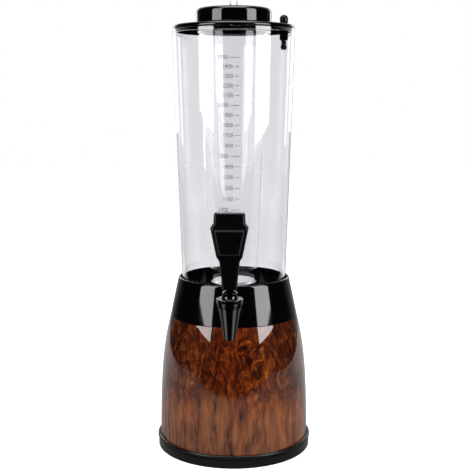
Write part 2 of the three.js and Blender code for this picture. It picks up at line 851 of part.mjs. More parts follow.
function ventSolid() {
  const seat = ventSeat();
  const head = seat + ventHeadHeight;
  const barbTop = ventBossBottom - ventTravel;
  const barbEdge = barbTop - ventBarbHeight;
  const crown = [ventHeadRadius, head];
  const dome = [];
  for (let i = 1; i <= curveSteps; i += 1) {
    const a = (Math.PI * i) / (2 * curveSteps);
    dome.push([ventHeadRadius * Math.cos(a), head + ventHeadRadius * Math.sin(a)]);
  }
  dome[curveSteps - 1][0] = 0;
  const body = turned([
    [0, barbEdge - ventTipHeight],
    [ventTipRadius, barbEdge - ventTipHeight],
    [ventBarbRadius, barbEdge],
    [ventStemRadius, barbTop],
    [ventStemRadius, seat],
    [ventFootRadius, seat],
    ...bend([ventFootRadius, seat], [ventHeadRadius, seat + ventHeadHeight / 2], crown),
    ...dome,
  ], mediumFacets);
  const groove = block(
    [ventStemRadius - ventGrooveDepth, -ventGrooveHalfWidth, barbTop],
    [ventStemRadius + overrun, ventGrooveHalfWidth, seat - gap - lidPlate],
  );
  return shape(body, [], [groove]);
}

function tubeSealSolid() {
  const low = lidTop + gap;
  return washer(lidHoleRadius, iceNeckOuter, low, low + tubeSealThickness, largeFacets);
}

// Ice tube, with a wider neck that stands on the lid
function iceTubeSolid() {
  const low = -iceDepth;
  const cornerTop = low + iceCorner;
  const cornerStart = [iceFootRadius - iceCorner, low];
  const neckTopHeight = iceSeat + iceNeckHeight;
  const neckInner = iceNeckOuter - iceNeckWall;
  return shape(turned([
    [0, low],
    cornerStart,
    ...bend(cornerStart, [iceFootRadius, low], [iceRadiusAt(cornerTop), cornerTop]),
    [iceRadiusAt(iceSeat), iceSeat],
    [iceNeckOuter, iceSeat],
    [iceNeckOuter, neckTopHeight],
    [neckInner, neckTopHeight],
    [neckInner, iceSeat + iceWall],
    [iceRadiusAt(iceSeat) - iceWall, iceSeat],
    [iceRadiusAt(cornerTop) - iceWall, low + iceFloor],
    [0, low + iceFloor],
  ], largeFacets));
}

// Points from the cap's wall over its shoulder to the axis
function capOver(radius, wallTop, domeTop) {
  const flat = [radius * capFlatShare, domeTop - capCrown];
  return [
    [radius, wallTop],
    ...bend([radius, wallTop], [radius, domeTop - capCrown], flat),
    [0, domeTop],
  ];
}

function capSolid() {
  const neckHeight = iceNeckHeight - capDrop;
  const domeTop = capWallHeight + capDomeHeight;
  const under = capOver(capInner, neckHeight + gap, domeTop - capRoof).reverse();
  const body = turned([
    ...under,
    [capInner, 0],
    [capRadius, 0],
    ...capOver(capRadius, capWallHeight, domeTop),
  ], largeFacets);
  const stopOuter = iceNeckOuter - gap;
  const stopInner = stopOuter - capStopWidth;
  const stop = washer(stopInner, stopOuter, neckHeight + gap, domeTop - capRoof, largeFacets);
  const holes = [-loopHalfWidth, loopHalfWidth].map((x) => {
    const hole = rod(loopPinRadius + gap, capWallHeight, domeTop + overrun, smallFacets);
    return hole.translate(x, 0, 0);
  });
  return shape(body, [stop], holes);
}

// Wire loop that stands on two flared feet, with pins in the cap's roof
function loopSolid() {
  const foot = capWallHeight + capDomeHeight + gap;
  const legTop = foot + loopStraight;
  const footStart = [loopFootRadius, foot];
  const footEnd = [loopWireRadius, foot + loopFootHeight];
  const path = new THREE.CurvePath();
  path.add(new THREE.LineCurve3(
    new THREE.Vector3(-loopHalfWidth, 0, foot + loopFootHeight / 2),
    new THREE.Vector3(-loopHalfWidth, 0, legTop),
  ));
  const crown = new THREE.CatmullRomCurve3(around(2 * curveSteps).slice(0, curveSteps + 1).map((angle) => (
    new THREE.Vector3(-loopHalfWidth * Math.cos(angle), 0, legTop + loopHalfWidth * Math.sin(angle))
  )));
  path.add(crown);
  path.add(new THREE.LineCurve3(
    new THREE.Vector3(loopHalfWidth, 0, legTop),
    new THREE.Vector3(loopHalfWidth, 0, foot + loopFootHeight / 2),
  ));
  const section = new THREE.Shape();
  section.absarc(0, 0, loopWireRadius, 0, 2 * Math.PI, false);
  const wire = new THREE.ExtrudeGeometry(section, {
    extrudePath: path, steps: 4 * curveSteps, curveSegments: curveSteps, bevelEnabled: false,
  });
  const joined = [];
  for (const x of [-loopHalfWidth, loopHalfWidth]) {
    const flared = turned([
      [0, foot],
      footStart,
      ...bend(footStart, [loopWireRadius, foot + loopFootHeight / 4], footEnd),
      [0, foot + loopFootHeight],
    ], smallFacets);
    const pin = rod(loopPinRadius, foot - capRoof - gap, foot + loopFootHeight / 2, smallFacets);
    joined.push(flared.translate(x, 0, 0), pin.translate(x, 0, 0));
  }
  return shape(wire, joined);
}

// The pieces
piece('anti_slip_pad', padSolid(), blackRubber);
piece('base_cover', coverSolid(), blackGloss);
piece('base_shell', shellSolid(), burlWood);
piece('collar', collarSolid(), blackGloss);
piece('tank_gasket', gasketSolid(), blackRubber);
piece('tank', tankSolid(), clearPlastic);
const baseSeat = padProud + counterboreDepth - gap;
const collarSeat = flangeBottom - gap;
addScrews('base_screw', baseScrewCount, baseScrewCircle, baseSeat, baseScrewLength, diagonalShare);
addScrews('collar_screw', collarScrewCount, collarScrewCircle, collarSeat, collarScrewLength);

piece('tap_body', tapBodySolid(), blackGloss, tap);
piece('tap_bonnet', bonnetSolid(), blackGloss, tap);
piece('flange_washer', shankWasher(flangeWasherStart), blackRubber, tap);
piece('tank_washer', shankWasher(tankWasherStart), blackRubber, tap);
piece('nut_washer', shankWasher(nutWasherStart), blackRubber, tap);
piece('tap_nut', tapNutSolid(), blackMatt, tap);
piece('ball_seat', ballSeatSolid(), paleSilicone, tap);
piece('friction_washer', frictionWasherSolid(), paleSilicone, tap);
piece('valve_shaft', shaftSolid(), steel, tap);
piece('valve_seal', sealSolid(), paleSilicone, tap);
piece('valve_nut', valveNutSolid(), steel, tap);
piece('tap_lever', leverSolid(), blackMatt, lever);
piece('tap_handle', handleSolid(), blackMatt, lever);

piece('lid', lidSolid(), blackGloss, lidGroup);
piece('vent_plug', ventSolid(), blackRubber, vent);
piece('tube_seal', tubeSealSolid(), paleSilicone, lidGroup);
piece('ice_tube', iceTubeSolid(), clearPlastic, lidGroup);
piece('tube_cap', capSolid(), blackGloss, cap);
piece('cap_loop', loopSolid(), steel, cap);

export default tower;
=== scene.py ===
import math

import bmesh
import bpy
from mathutils import Matrix, Vector
from mathutils.geometry import interpolate_bezier


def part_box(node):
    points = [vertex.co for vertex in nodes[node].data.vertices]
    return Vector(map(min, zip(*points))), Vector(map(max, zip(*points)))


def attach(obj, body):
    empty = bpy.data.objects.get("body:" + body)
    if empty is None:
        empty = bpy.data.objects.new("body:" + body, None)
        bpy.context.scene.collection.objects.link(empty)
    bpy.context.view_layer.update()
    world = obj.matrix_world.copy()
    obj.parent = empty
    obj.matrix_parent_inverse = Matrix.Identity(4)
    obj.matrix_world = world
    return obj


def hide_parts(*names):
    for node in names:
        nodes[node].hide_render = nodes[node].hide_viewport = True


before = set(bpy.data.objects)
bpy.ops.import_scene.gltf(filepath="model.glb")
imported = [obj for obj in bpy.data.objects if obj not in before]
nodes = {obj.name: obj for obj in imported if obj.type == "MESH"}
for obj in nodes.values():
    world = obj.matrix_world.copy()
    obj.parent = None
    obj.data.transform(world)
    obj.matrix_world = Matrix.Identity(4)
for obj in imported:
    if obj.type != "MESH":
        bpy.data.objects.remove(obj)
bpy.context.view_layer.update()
mm = 0.001  # pieces are shaped in millimetres and scaled once, when they are finished
merge = 0.0005  # points nearer than this are one point
near = 0.1  # a face this near to a height or a radius lies on it
print("frame loaded:", len(nodes), "nodes")


def newObject(name, data):
    made = bpy.data.objects.new(name, data)
    bpy.context.scene.collection.objects.link(made)
    return made


# Camera at the photograph's angle

photoCamera = {
    "azimuth": 2.3, "tiltDown": 8.41,  # degrees from the front towards the right, and from level
    "height": 0.3905, "distance": 1.0302, "lens": 71.8, "shiftX": 0.0026,
}


def addCamera(setup):
    data = bpy.data.cameras.new("photoCamera")
    data.lens = setup["lens"]
    data.sensor_width = 36
    data.shift_x = setup["shiftX"]
    camera = newObject("photoCamera", data)
    turn = math.radians(setup["azimuth"])
    reach = setup["distance"]
    camera.location = (reach * math.sin(turn), -reach * math.cos(turn), setup["height"])
    camera.rotation_euler = (math.radians(90 - setup["tiltDown"]), 0, turn)
    bpy.context.scene.camera = camera


addCamera(photoCamera)
print("camera set")


# Shapes

def boxOf(node):
    low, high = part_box(node)
    return low / mm, high / mm


def named(size, *points):  # points whose parts are plain numbers or names of the piece's settings
    return [tuple(size.get(part, part) for part in point) for point in points]


def bend(start, control, end, steps=8):  # points of a quadratic curve, without the first
    a, c, b = Vector(start), Vector(control), Vector(end)
    points = interpolate_bezier(a, a.lerp(c, 2 / 3), b.lerp(c, 2 / 3), b, steps + 1)
    return [tuple(p) for p in points[1:]]


def turned(outline, steps=128, closed=True):  # outline holds [radius, height] points
    bm = bmesh.new()
    verts = [bm.verts.new((radius, 0, height)) for radius, height in outline]
    ends = verts[1:] + verts[:1] if closed else verts[1:]
    edges = [bm.edges.new(pair) for pair in zip(verts, ends)]
    bmesh.ops.spin(bm, geom=verts + edges, cent=(0, 0, 0), axis=(0, 0, 1),
                   angle=2 * math.pi, steps=steps, use_merge=True)
    bmesh.ops.remove_doubles(bm, verts=bm.verts, dist=merge)
    bmesh.ops.dissolve_degenerate(bm, edges=bm.edges, dist=merge)
    bmesh.ops.recalc_face_normals(bm, faces=bm.faces)
    return bm


def ringOf(inner, outer, low, high, steps=96):  # a plain ring, or a disc where inner is 0
    outline = [(inner, low), (outer, low), (outer, high), (inner, high)]
    return turned(outline, steps, closed=inner > 0)


def soften(bm, width, angle=22, segments=3):  # rounds every edge that is sharper than the angle
    limit = math.radians(angle)
    sharp = [e for e in bm.edges if len(e.link_faces) == 2 and e.calc_face_angle(0) > limit]
    bmesh.ops.bevel(bm, geom=sharp, offset=width, offset_type="OFFSET", segments=segments,
                    affect="EDGES", profile=0.5, material=-1, clamp_overlap=True)
    return bm


def shift(bm, x=0.0, y=0.0, z=0.0):
    bmesh.ops.translate(bm, vec=(x, y, z), verts=bm.verts)
    return bm


def alongY(bm):  # lays a shape that stands on Z along +Y
    bmesh.ops.rotate(bm, cent=(0, 0, 0), matrix=Matrix.Rotation(-math.pi / 2, 3, "X"), verts=bm.verts)
    return bm


def addInto(bm, other):
    carrier = bpy.data.meshes.new("carrier")
    other.to_mesh(carrier)
    other.free()
    bm.from_mesh(carrier)
    bpy.data.meshes.remove(carrier)
    return bm


def plainObject(name, bm):
    mesh = bpy.data.meshes.new(name)
    bm.to_mesh(mesh)
    bm.free()
    return newObject(name, mesh)


def curveShape(data):  # the mesh of a curve or a text, whose data is then removed
    carrier = newObject(data.name, data)
    graph = bpy.context.evaluated_depsgraph_get()
    mesh = bpy.data.meshes.new_from_object(carrier.evaluated_get(graph))
    bm = bmesh.new()
    bm.from_mesh(mesh)
    bpy.data.meshes.remove(mesh)
    bpy.data.curves.remove(data)
    return bm


def cutAway(bm, cutters, joined=()):  # solids joined on, and then others cut away
    base = plainObject("cutBase", bm)
    tools = [plainObject("cutTool", tool) for tool in (*joined, *cutters)]
    for i, tool in enumerate(tools):
        cut = base.modifiers.new("cut", "BOOLEAN")
        cut.operation = "UNION" if i < len(joined) else "DIFFERENCE"
        cut.solver = "EXACT"
        cut.object = tool
    result = bmesh.new()
    result.from_object(base, bpy.context.evaluated_depsgraph_get())
    for made in [base] + tools:
        bpy.data.meshes.remove(made.data)
    return result


def secondFinish(bm, belongs):  # gives faces the piece's second material, by their middle and normal
    for face in bm.faces:
        if belongs(face.calc_center_median(), face.normal):
            face.material_index = 1


def roundedFoot(low, radius, corner, taper):  # a vessel's outline, from its middle to round its corner
    start = (radius - corner, low)
    return [(0, low), start, *bend(start, (radius, low), (radius + taper * corner, low + corner))]


def copyOf(node):  # the CAD solid with its triangles merged into flat faces
    bm = bmesh.new()
    bm.from_mesh(nodes[node].data)
    bmesh.ops.remove_doubles(bm, verts=bm.verts, dist=1e-6)
    bmesh.ops.scale(bm, vec=(1 / mm, 1 / mm, 1 / mm), verts=bm.verts)
    bmesh.ops.dissolve_limit(bm, angle_limit=math.radians(0.6), verts=bm.verts, edges=bm.edges)
    return bm


def addPiece(name, bm, material, body, replaced=None, smooth=28, second=None):
    bmesh.ops.scale(bm, vec=(mm, mm, mm), verts=bm.verts)
    piece = plainObject(name, bm)
    for face in piece.data.polygons:
        face.use_smooth = True
    piece.data.set_sharp_from_angle(angle=math.radians(smooth))
    piece.data.materials.append(material)
    if second:  # the finish of the faces that were given index 1
        piece.data.materials.append(second)
    even = piece.modifiers.new("evenNormals", "WEIGHTED_NORMAL")  # long faces keep their own direction
    even.mode = "FACE_AREA"
    even.weight = 100
    even.keep_sharp = True
    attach(piece, body)
    if replaced:
        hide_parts(replaced)
    return piece


# Material helpers

def fill(tree, node, values):  # each value is a socket to read, or a plain value
    for name, value in values.items():
        if isinstance(value, bpy.types.NodeSocket):
            tree.links.new(value, node.inputs[name])
        else:
            node.inputs[name].default_value = value
    return node


def addNode(tree, kind, values=None, **settings):
    made = tree.nodes.new("ShaderNode" + kind)
    for key, value in settings.items():
        setattr(made, key, value)
    return fill(tree, made, values or {})


def newGroup(name, inputs, outputs):
    tree = bpy.data.node_groups.new(name, "ShaderNodeTree")
    for label in inputs:
        tree.interface.new_socket(label, in_out="INPUT", socket_type="NodeSocketFloat")
    for label, kind in outputs.items():
        tree.interface.new_socket(label, in_out="OUTPUT", socket_type="NodeSocket" + kind)
    return tree, tree.nodes.new("NodeGroupInput").outputs, tree.nodes.new("NodeGroupOutput").inputs


def mathNode(tree, operation, first, second=0.0, clamp=False):
    made = addNode(tree, "Math", {0: first, 1: second}, operation=operation, use_clamp=clamp)
    return made.outputs[0]


def times(tree, first, second, clamp=False):
    return mathNode(tree, "MULTIPLY", first, second, clamp)


def plus(tree, first, second, clamp=False):
    return mathNode(tree, "ADD", first, second, clamp)


def minus(tree, first, second, clamp=False):
    return mathNode(tree, "SUBTRACT", first, second, clamp)


def vectorMath(tree, operation, values):
    return addNode(tree, "VectorMath", values, operation=operation).outputs


def smoothRise(tree, value, low, high, top=1.0, bottom=0.0, blend="SMOOTHSTEP"):
    return addNode(tree, "MapRange", {
        "Value": value, "From Min": low, "From Max": high, "To Min": bottom, "To Max": top,
    }, interpolation_type=blend).outputs["Result"]


def evenRise(tree, value, low, high, top=1.0, bottom=0.0):
    return smoothRise(tree, value, low, high, top, bottom, "LINEAR")


def mixed(tree, factor, first, second, kind="FLOAT"):
    values = {"Factor": factor, "A": first, "B": second}
    return addNode(tree, "Mix", values, data_type=kind).outputs["Result"]


def mixColours(tree, factor, first, second):
    first, second = ((*value, 1) if isinstance(value, tuple) else value for value in (first, second))
    return mixed(tree, factor, first, second, "RGBA")


def objectPlace(tree):
    return addNode(tree, "TexCoord").outputs["Object"]


def splitOf(tree, vector):
    return addNode(tree, "SeparateXYZ", {"Vector": vector}).outputs


def scaled(tree, place, scale):
    return addNode(tree, "Mapping", {"Vector": place, "Scale": scale}).outputs["Vector"]


def noiseAt(tree, place, scale, detail, roughness=0.5, distortion=0.0):
    return addNode(tree, "TexNoise", {
        "Vector": place, "Scale": scale, "Detail": detail, "Roughness": roughness, "Distortion": distortion,
    }).outputs["Fac"]


def bumped(tree, height, strength, distance):
    values = {"Height": height, "Strength": strength, "Distance": distance}
    return addNode(tree, "Bump", values).outputs["Normal"]


surface = {
    "grainBump": 0.0004, "edgeMaskNoise": 240.0, "edgeMaskFrom": 0.53, "edgeMaskTo": 0.62, "speckNoise": 700.0,
    "dustFrom": 0.6, "smudgeNoise": 26.0, "smudgeSwirl": 1.2, "dustDull": 0.4,
}


def makeGrainGroup():  # fine moulded grain: a value to vary colour with, and a bumped normal
    tree, start, end = newGroup("mouldedGrain", ("Scale", "Depth"), {"Value": "Float", "Normal": "Vector"})
    noise = noiseAt(tree, objectPlace(tree), start["Scale"], 4.0, 0.55)
    tree.links.new(noise, end["Value"])
    tree.links.new(bumped(tree, noise, start["Depth"], surface["grainBump"]), end["Normal"])
    return tree


def makeWearGroup():  # rubbed edges and a painted edge highlight: a mask that is 1 on the sharpest ones
    tree, start, end = newGroup("wornAndHighlitEdges", ("Amount",), {"Mask": "Float"})
    pointiness = addNode(tree, "NewGeometry").outputs["Pointiness"]
    noise = noiseAt(tree, objectPlace(tree), surface["edgeMaskNoise"], 3.0)
    rubbedAndHighlit = times(tree, evenRise(tree, pointiness, surface["edgeMaskFrom"], surface["edgeMaskTo"]), noise)
    tree.links.new(times(tree, rubbedAndHighlit, start["Amount"], clamp=True), end["Mask"])
    return tree


def makeDustGroup():  # thin dust on what faces up, and faint wipe marks everywhere
    tree, start, end = newGroup("settledDust", ("Amount",), {"Mask": "Float", "Smudge": "Float"})
    place = objectPlace(tree)
    normal = splitOf(tree, addNode(tree, "NewGeometry").outputs["Normal"])
    specks = noiseAt(tree, place, surface["speckNoise"], 5.0, 0.7)
    settled = times(tree, evenRise(tree, normal["Z"], surface["dustFrom"], 1.0), specks)
    tree.links.new(times(tree, settled, start["Amount"], clamp=True), end["Mask"])
    smudges = noiseAt(tree, place, surface["smudgeNoise"], 3.0, distortion=surface["smudgeSwirl"])
    tree.links.new(smudges, end["Smudge"])
    return tree


groups = {"grain": makeGrainGroup(), "wearAndEdgeHighlight": makeWearGroup(), "dust": makeDustGroup()}


def addGroup(tree, name, values):
    return addNode(tree, "Group", values, node_tree=groups[name]).outputs


def newMaterial(name):
    material = bpy.data.materials.new(name)
    material.use_nodes = True
    return material, material.node_tree, material.node_tree.nodes["Principled BSDF"]


# Moulded plastics and rubber share one recipe

def grey(level, blue=None):  # neutral, unless its blue is given
    return level, level, blue or level


mouldedUsual = {"dustColour": grey(0.02), "wearAndEdgeHighlight": 0.2, "dust": 0.1, "smudge": 0.1, "ior": 1.5}


def mouldedMaterial(name, differing):
    setup = {**mouldedUsual, **differing}
    material, tree, shader = newMaterial(name)
    grain = addGroup(tree, "grain", {"Scale": setup["grainScale"], "Depth": setup["grainDepth"]})
    wearAndEdgeHighlight = addGroup(tree, "wearAndEdgeHighlight", {"Amount": setup["wearAndEdgeHighlight"]})
    dust = addGroup(tree, "dust", {"Amount": setup["dust"]})
    body = mixColours(tree, grain["Value"], setup["dark"], setup["light"])
    wornAndHighlit = mixColours(tree, wearAndEdgeHighlight["Mask"], body, setup["rubbedAndHighlit"])
    smudged = plus(tree, times(tree, dust["Smudge"], setup["smudge"]), setup["roughness"])
    dull = times(tree, dust["Mask"], surface["dustDull"])
    fill(tree, shader, {
        "Base Color": mixColours(tree, dust["Mask"], wornAndHighlit, setup["dustColour"]),
        "Roughness": plus(tree, smudged, dull, clamp=True),
        "Normal": grain["Normal"], "IOR": setup["ior"],
    })
    return material


blackGloss = mouldedMaterial("polishedBlack", {
    "dark": grey(0.0008, 0.001), "light": grey(0.0018, 0.0021), "rubbedAndHighlit": grey(0.01, 0.011),
    "grainScale": 420.0, "grainDepth": 0.006, "wearAndEdgeHighlight": 0.15, "dust": 0.12, "smudge": 0.05,
    "roughness": 0.035, "ior": 1.62,
})
blackFoot = mouldedMaterial("satinFootBlack", {
    "dark": grey(0.0025, 0.003), "light": grey(0.005, 0.006), "rubbedAndHighlit": grey(0.014, 0.016),
    "dustColour": grey(0.03), "grainScale": 1500.0, "grainDepth": 0.05, "wearAndEdgeHighlight": 0.3, "dust": 0.15,
    "smudge": 0.08, "roughness": 0.2,
})
# the satin handle's strong edge lightening is partly wear and partly a painted highlight of the light its
# edges catch
blackSatin = mouldedMaterial("satinBlack", {
    "dark": grey(0.001, 0.0012), "light": grey(0.002, 0.0023), "rubbedAndHighlit": grey(0.02, 0.021),
    "grainScale": 1800.0, "grainDepth": 0.05, "wearAndEdgeHighlight": 0.5, "smudge": 0.06, "roughness": 0.17,
})
# frosted bevel round the handle's panel: its colour is lighter than the handle's as a painted highlight
paintedHighlightBevel = mouldedMaterial("frostedBevelPaintedHighlight", {
    "dark": grey(0.009, 0.0095), "light": grey(0.014, 0.015), "rubbedAndHighlit": grey(0.02),
    "dustColour": grey(0.03), "grainScale": 1800.0, "grainDepth": 0.1, "wearAndEdgeHighlight": 0.3, "roughness": 0.5,
    "ior": 1.4,
})
blackMatt = mouldedMaterial("mattInsideBlack", {
    "dark": grey(0.0006, 0.0007), "light": grey(0.0012, 0.0014), "rubbedAndHighlit": grey(0.004),
    "dustColour": grey(0.005), "grainScale": 1400.0, "grainDepth": 0.2, "dust": 0.05,
    "roughness": 0.75, "ior": 1.1,
})
blackRubber = mouldedMaterial("blackRubber", {
    "dark": grey(0.004), "light": grey(0.009), "rubbedAndHighlit": grey(0.02), "dustColour": grey(0.05),
    "grainScale": 1300.0, "grainDepth": 0.25, "dust": 0.3, "roughness": 0.45,
})
ventRubber = mouldedMaterial("ventRubber", {
    "dark": grey(0.001, 0.0012), "light": grey(0.002, 0.0024), "rubbedAndHighlit": grey(0.006),
    "grainScale": 1300.0, "grainDepth": 0.04, "smudge": 0.04, "roughness": 0.1, "ior": 1.4,
})
paleSilicone = mouldedMaterial("paleSilicone", {
    "dark": grey(0.6, 0.58), "light": grey(0.7, 0.68), "rubbedAndHighlit": grey(0.75, 0.73),
    "dustColour": (0.5, 0.49, 0.47), "grainScale": 1100.0, "grainDepth": 0.12, "wearAndEdgeHighlight": 0.1,
    "dust": 0.2, "smudge": 0.08, "roughness": 0.4, "ior": 1.43,
})
print("moulded finishes made")


steelFinish = {
    "dark": grey(0.36, 0.38), "light": grey(0.52, 0.54), "across": 1900.0, "along": 90.0,
    "roughness": 0.24, "smudge": 0.12, "dust": 0.1, "lineDepth": 0.15, "lineBump": 0.0002,
}


def makeSteel(setup):  # drawn wire and turned screws, with fine lines round the axis
    material, tree, shader = newMaterial("drawnSteel")
    squeezed = scaled(tree, objectPlace(tree), (setup["along"], setup["along"], setup["across"]))
    lines = noiseAt(tree, squeezed, 1.0, 3.0)
    dust = addGroup(tree, "dust", {"Amount": setup["dust"]})
    fill(tree, shader, {
        "Base Color": mixColours(tree, lines, setup["dark"], setup["light"]),
        "Roughness": plus(tree, times(tree, dust["Smudge"], setup["smudge"]), setup["roughness"]),
        "Normal": bumped(tree, lines, setup["lineDepth"], setup["lineBump"]), "Metallic": 1,
    })
    return material


steel = makeSteel(steelFinish)


tankFinish = {
    "tint": grey(0.955, 0.975), "haze": grey(0.935, 0.96), "ior": 1.58, "waveScale": 9.0,
    "waveDepth": 0.05, "transmission": 1.0, "roughness": 0.0,
}
iceFinish = {
    "tint": grey(1.0), "haze": grey(0.985, 1.0), "ior": 1.45, "waveScale": 14.0,
    "waveDepth": 0.05, "transmission": 1.0, "roughness": 0.0,
}
frostFinish = {
    "tint": grey(0.8, 0.83), "haze": grey(0.6, 0.62), "ior": 1.45, "waveScale": 60.0,
    "waveDepth": 0.3, "transmission": 0.3, "roughness": 0.5,
}
hazeScale, hazeRoughness, waveBump = 160.0, 0.012, 0.002


def makeClear(name, setup):  # clear moulded plastic, a little wavy as such a wall is
    material, tree, shader = newMaterial(name)
    waves = noiseAt(tree, objectPlace(tree), setup["waveScale"], 1.0)
    haze = addGroup(tree, "grain", {"Scale": hazeScale, "Depth": 0.0})["Value"]
    fill(tree, shader, {
        "Base Color": mixColours(tree, haze, setup["tint"], setup["haze"]),
        "Roughness": plus(tree, times(tree, haze, hazeRoughness), setup["roughness"]),
        "Normal": bumped(tree, waves, setup["waveDepth"], waveBump),
        "Transmission Weight": setup["transmission"], "IOR": setup["ior"],
    })
    return material


clearPlastic = makeClear("clearPlastic", tankFinish)
clearIce = makeClear("clearIceTube", iceFinish)
frostedIce = makeClear("frostedIceTube", frostFinish)


inkFinish = {
    "dark": (0.012, 0.014, 0.02), "light": (0.03, 0.034, 0.045), "speckScale": 2600.0, "speckDepth": 0.1,
    "roughness": 0.4, "roughVary": 0.2,
}


def makeInk(setup):  # screen-printed ink with slightly uneven cover
    material, tree, shader = newMaterial("printedInk")
    grain = addGroup(tree, "grain", {"Scale": setup["speckScale"], "Depth": setup["speckDepth"]})
    fill(tree, shader, {
        "Base Color": mixColours(tree, grain["Value"], setup["dark"], setup["light"]),
        "Roughness": plus(tree, times(tree, grain["Value"], setup["roughVary"]), setup["roughness"]),
        "Normal": grain["Normal"],
    })
    return material


printedInk = makeInk(inkFinish)


burlFinish = {
    "fibre": (150.0, 0.15, 6.0, 0.6, 0.4),  # scale, stretch upwards, detail, roughness, swirl
    "line": (620.0, 0.09, 3.0, 0.55, 0.0),
    "burl": (62.0, 0.62, 7.0, 0.62, 2.4),
    "patch": (24.0, 0.35, 2.0, 0.55, 0.0),
    "warpScale": 34.0, "warpDetail": 3.0, "warp": 0.022, "calm": 0.006,
    "burlFrom": 0.045, "burlTo": 0.1, "edgeWave": 0.06, "burlShare": 0.82, "leastShare": 0.1,
    "streaks": 0.5, "cloud": 0.3,
    "tones": [(0.3, (0.01, 0.001, 0.0002)), (0.42, (0.05, 0.0058, 0.0003)), (0.5, (0.095, 0.0125, 0.0006)),
              (0.58, (0.165, 0.028, 0.002)), (0.7, (0.33, 0.09, 0.016))],
    "eyeScale": 40.0, "eyeStretch": 0.7, "eyeSize": 0.2, "eyeInner": 0.35, "eyeDark": 0.9,
    "eyeColour": (0.008, 0.0012, 0.0003),
    "knotReach": 95.0, "knotLean": 0.153, "knotInner": 0.3, "knotDark": 0.85,
    "knots": [  # degrees from the front, height and size
        (-5, 125, 6.5), (16, 116, 5.5), (11, 132, 4.5), (30, 118, 5.5), (5, 88, 5), (19, 101, 6),
        (-21, 103, 4.5), (-8, 111, 5),
    ],
    # the lower part's lift: partly the straight grain's paler colour, partly painted light bounced from the
    # floor
    "paleGrainAndBounceColour": (0.295, 0.106, 0.036), "paleGrainAndBounceLift": 0.8, "paleFrom": 0.25, "paleTo": 0.62,
    # painted shade towards the sides of the burl above
    "paintedSideShade": 0.5, "sideShadeFrom": 0.05, "sideShadeTo": 0.35,
    "bump": (0.04, 0.0003), "specular": 0.05,
    "roughness": 0.4, "roughVary": 0.2, "coatIor": 1.75, "coatRoughness": 0.025,
}


def makeBurl(setup):  # burl figure above, straight grain below, under a thick clear coat
    material, tree, shader = newMaterial("burlWoodLook")
    place = objectPlace(tree)
    height = splitOf(tree, place)["Z"]
    drift = addNode(tree, "TexNoise", {
        "Vector": place, "Scale": setup["warpScale"], "Detail": setup["warpDetail"],
    })
    centred = vectorMath(tree, "SUBTRACT", {0: drift.outputs["Color"], 1: (0.5, 0.5, 0.5)})["Vector"]
    swirling = evenRise(tree, height, setup["burlFrom"], setup["burlTo"], setup["warp"], setup["calm"])
    sized = vectorMath(tree, "SCALE", {0: centred, "Scale": swirling})["Vector"]
    warped = vectorMath(tree, "ADD", {0: place, 1: sized})["Vector"]

    def figure(kind):
        scale, stretch, detail, roughness, swirl = setup[kind]
        return noiseAt(tree, scaled(tree, warped, (1, 1, stretch)), scale, detail, roughness, swirl)

    fibres, lines, burl = (figure(kind) for kind in ("fibre", "line", "burl"))
    patches = minus(tree, figure("patch"), 0.5)
    wavy = plus(tree, height, times(tree, patches, setup["edgeWave"]))
    rise = smoothRise(tree, wavy, setup["burlFrom"], setup["burlTo"])
    share = plus(tree, times(tree, rise, setup["burlShare"]), setup["leastShare"])
    streaks = times(tree, minus(tree, lines, 0.5), setup["streaks"])
    figured = plus(tree, mixed(tree, share, fibres, burl), streaks)
    tone = plus(tree, figured, times(tree, patches, setup["cloud"]))
    ramp = addNode(tree, "ValToRGB", {"Fac": tone})
    stops = ramp.color_ramp.elements
    for position, colour in setup["tones"][1:-1]:
        stops.new(position)
    for stop, (position, colour) in zip(stops, setup["tones"]):
        stop.position = position
        stop.color = (*colour, 1)

    eyes = addNode(tree, "TexVoronoi", {
        "Vector": scaled(tree, warped, (1, 1, setup["eyeStretch"])), "Scale": setup["eyeScale"],
        "Randomness": 1.0,
    })
    inner = setup["eyeSize"] * setup["eyeInner"]
    ring = smoothRise(tree, eyes.outputs["Distance"], setup["eyeSize"], inner, setup["eyeDark"])
    eyed = times(tree, ring, share, clamp=True)
    for turn, level, radius in setup["knots"]:
        reach = setup["knotReach"] - setup["knotLean"] * level
        centre = Matrix.Rotation(math.radians(turn), 3, "Z") @ Vector((0, -reach, level)) * mm
        away = vectorMath(tree, "DISTANCE", {0: warped, 1: tuple(centre)})["Value"]
        knot = smoothRise(tree, away, radius * mm, radius * mm * setup["knotInner"], setup["knotDark"])
        eyed = mathNode(tree, "MAXIMUM", eyed, knot)

    # lighter towards the bottom: partly the straight grain's own paler colour, partly painted light bounced
    # up from the floor
    paleAndBounce = times(tree, minus(tree, 1.0, rise), setup["paleGrainAndBounceLift"])
    paleAndBounceStreaks = times(tree, smoothRise(tree, fibres, setup["paleFrom"], setup["paleTo"]), paleAndBounce)
    lifted = mixColours(tree, paleAndBounce, ramp.outputs["Color"], setup["paleGrainAndBounceColour"])
    washed = mixColours(tree, paleAndBounceStreaks, ramp.outputs["Color"], lifted)
    coloured = mixColours(tree, eyed, washed, setup["eyeColour"])
    # painted shade: the burl above is darkened towards its sides, against the lamps that light the sides
    # strongly
    grazing = addNode(tree, "LayerWeight", {"Blend": 0.5}).outputs["Facing"]
    shade = smoothRise(tree, grazing, setup["sideShadeFrom"], setup["sideShadeTo"], setup["paintedSideShade"])
    fill(tree, shader, {
        "Base Color": mixColours(tree, times(tree, shade, rise), coloured, (0, 0, 0)),
        "Roughness": plus(tree, times(tree, lines, setup["roughVary"]), setup["roughness"]),
        "Normal": bumped(tree, tone, *setup["bump"]), "Specular IOR Level": setup["specular"],
        "Coat Weight": 1, "Coat IOR": setup["coatIor"], "Coat Roughness": setup["coatRoughness"],
    })
    return material


burlWood = makeBurl(burlFinish)
print("wood, clear, steel and ink finishes made")


# Foot and shell

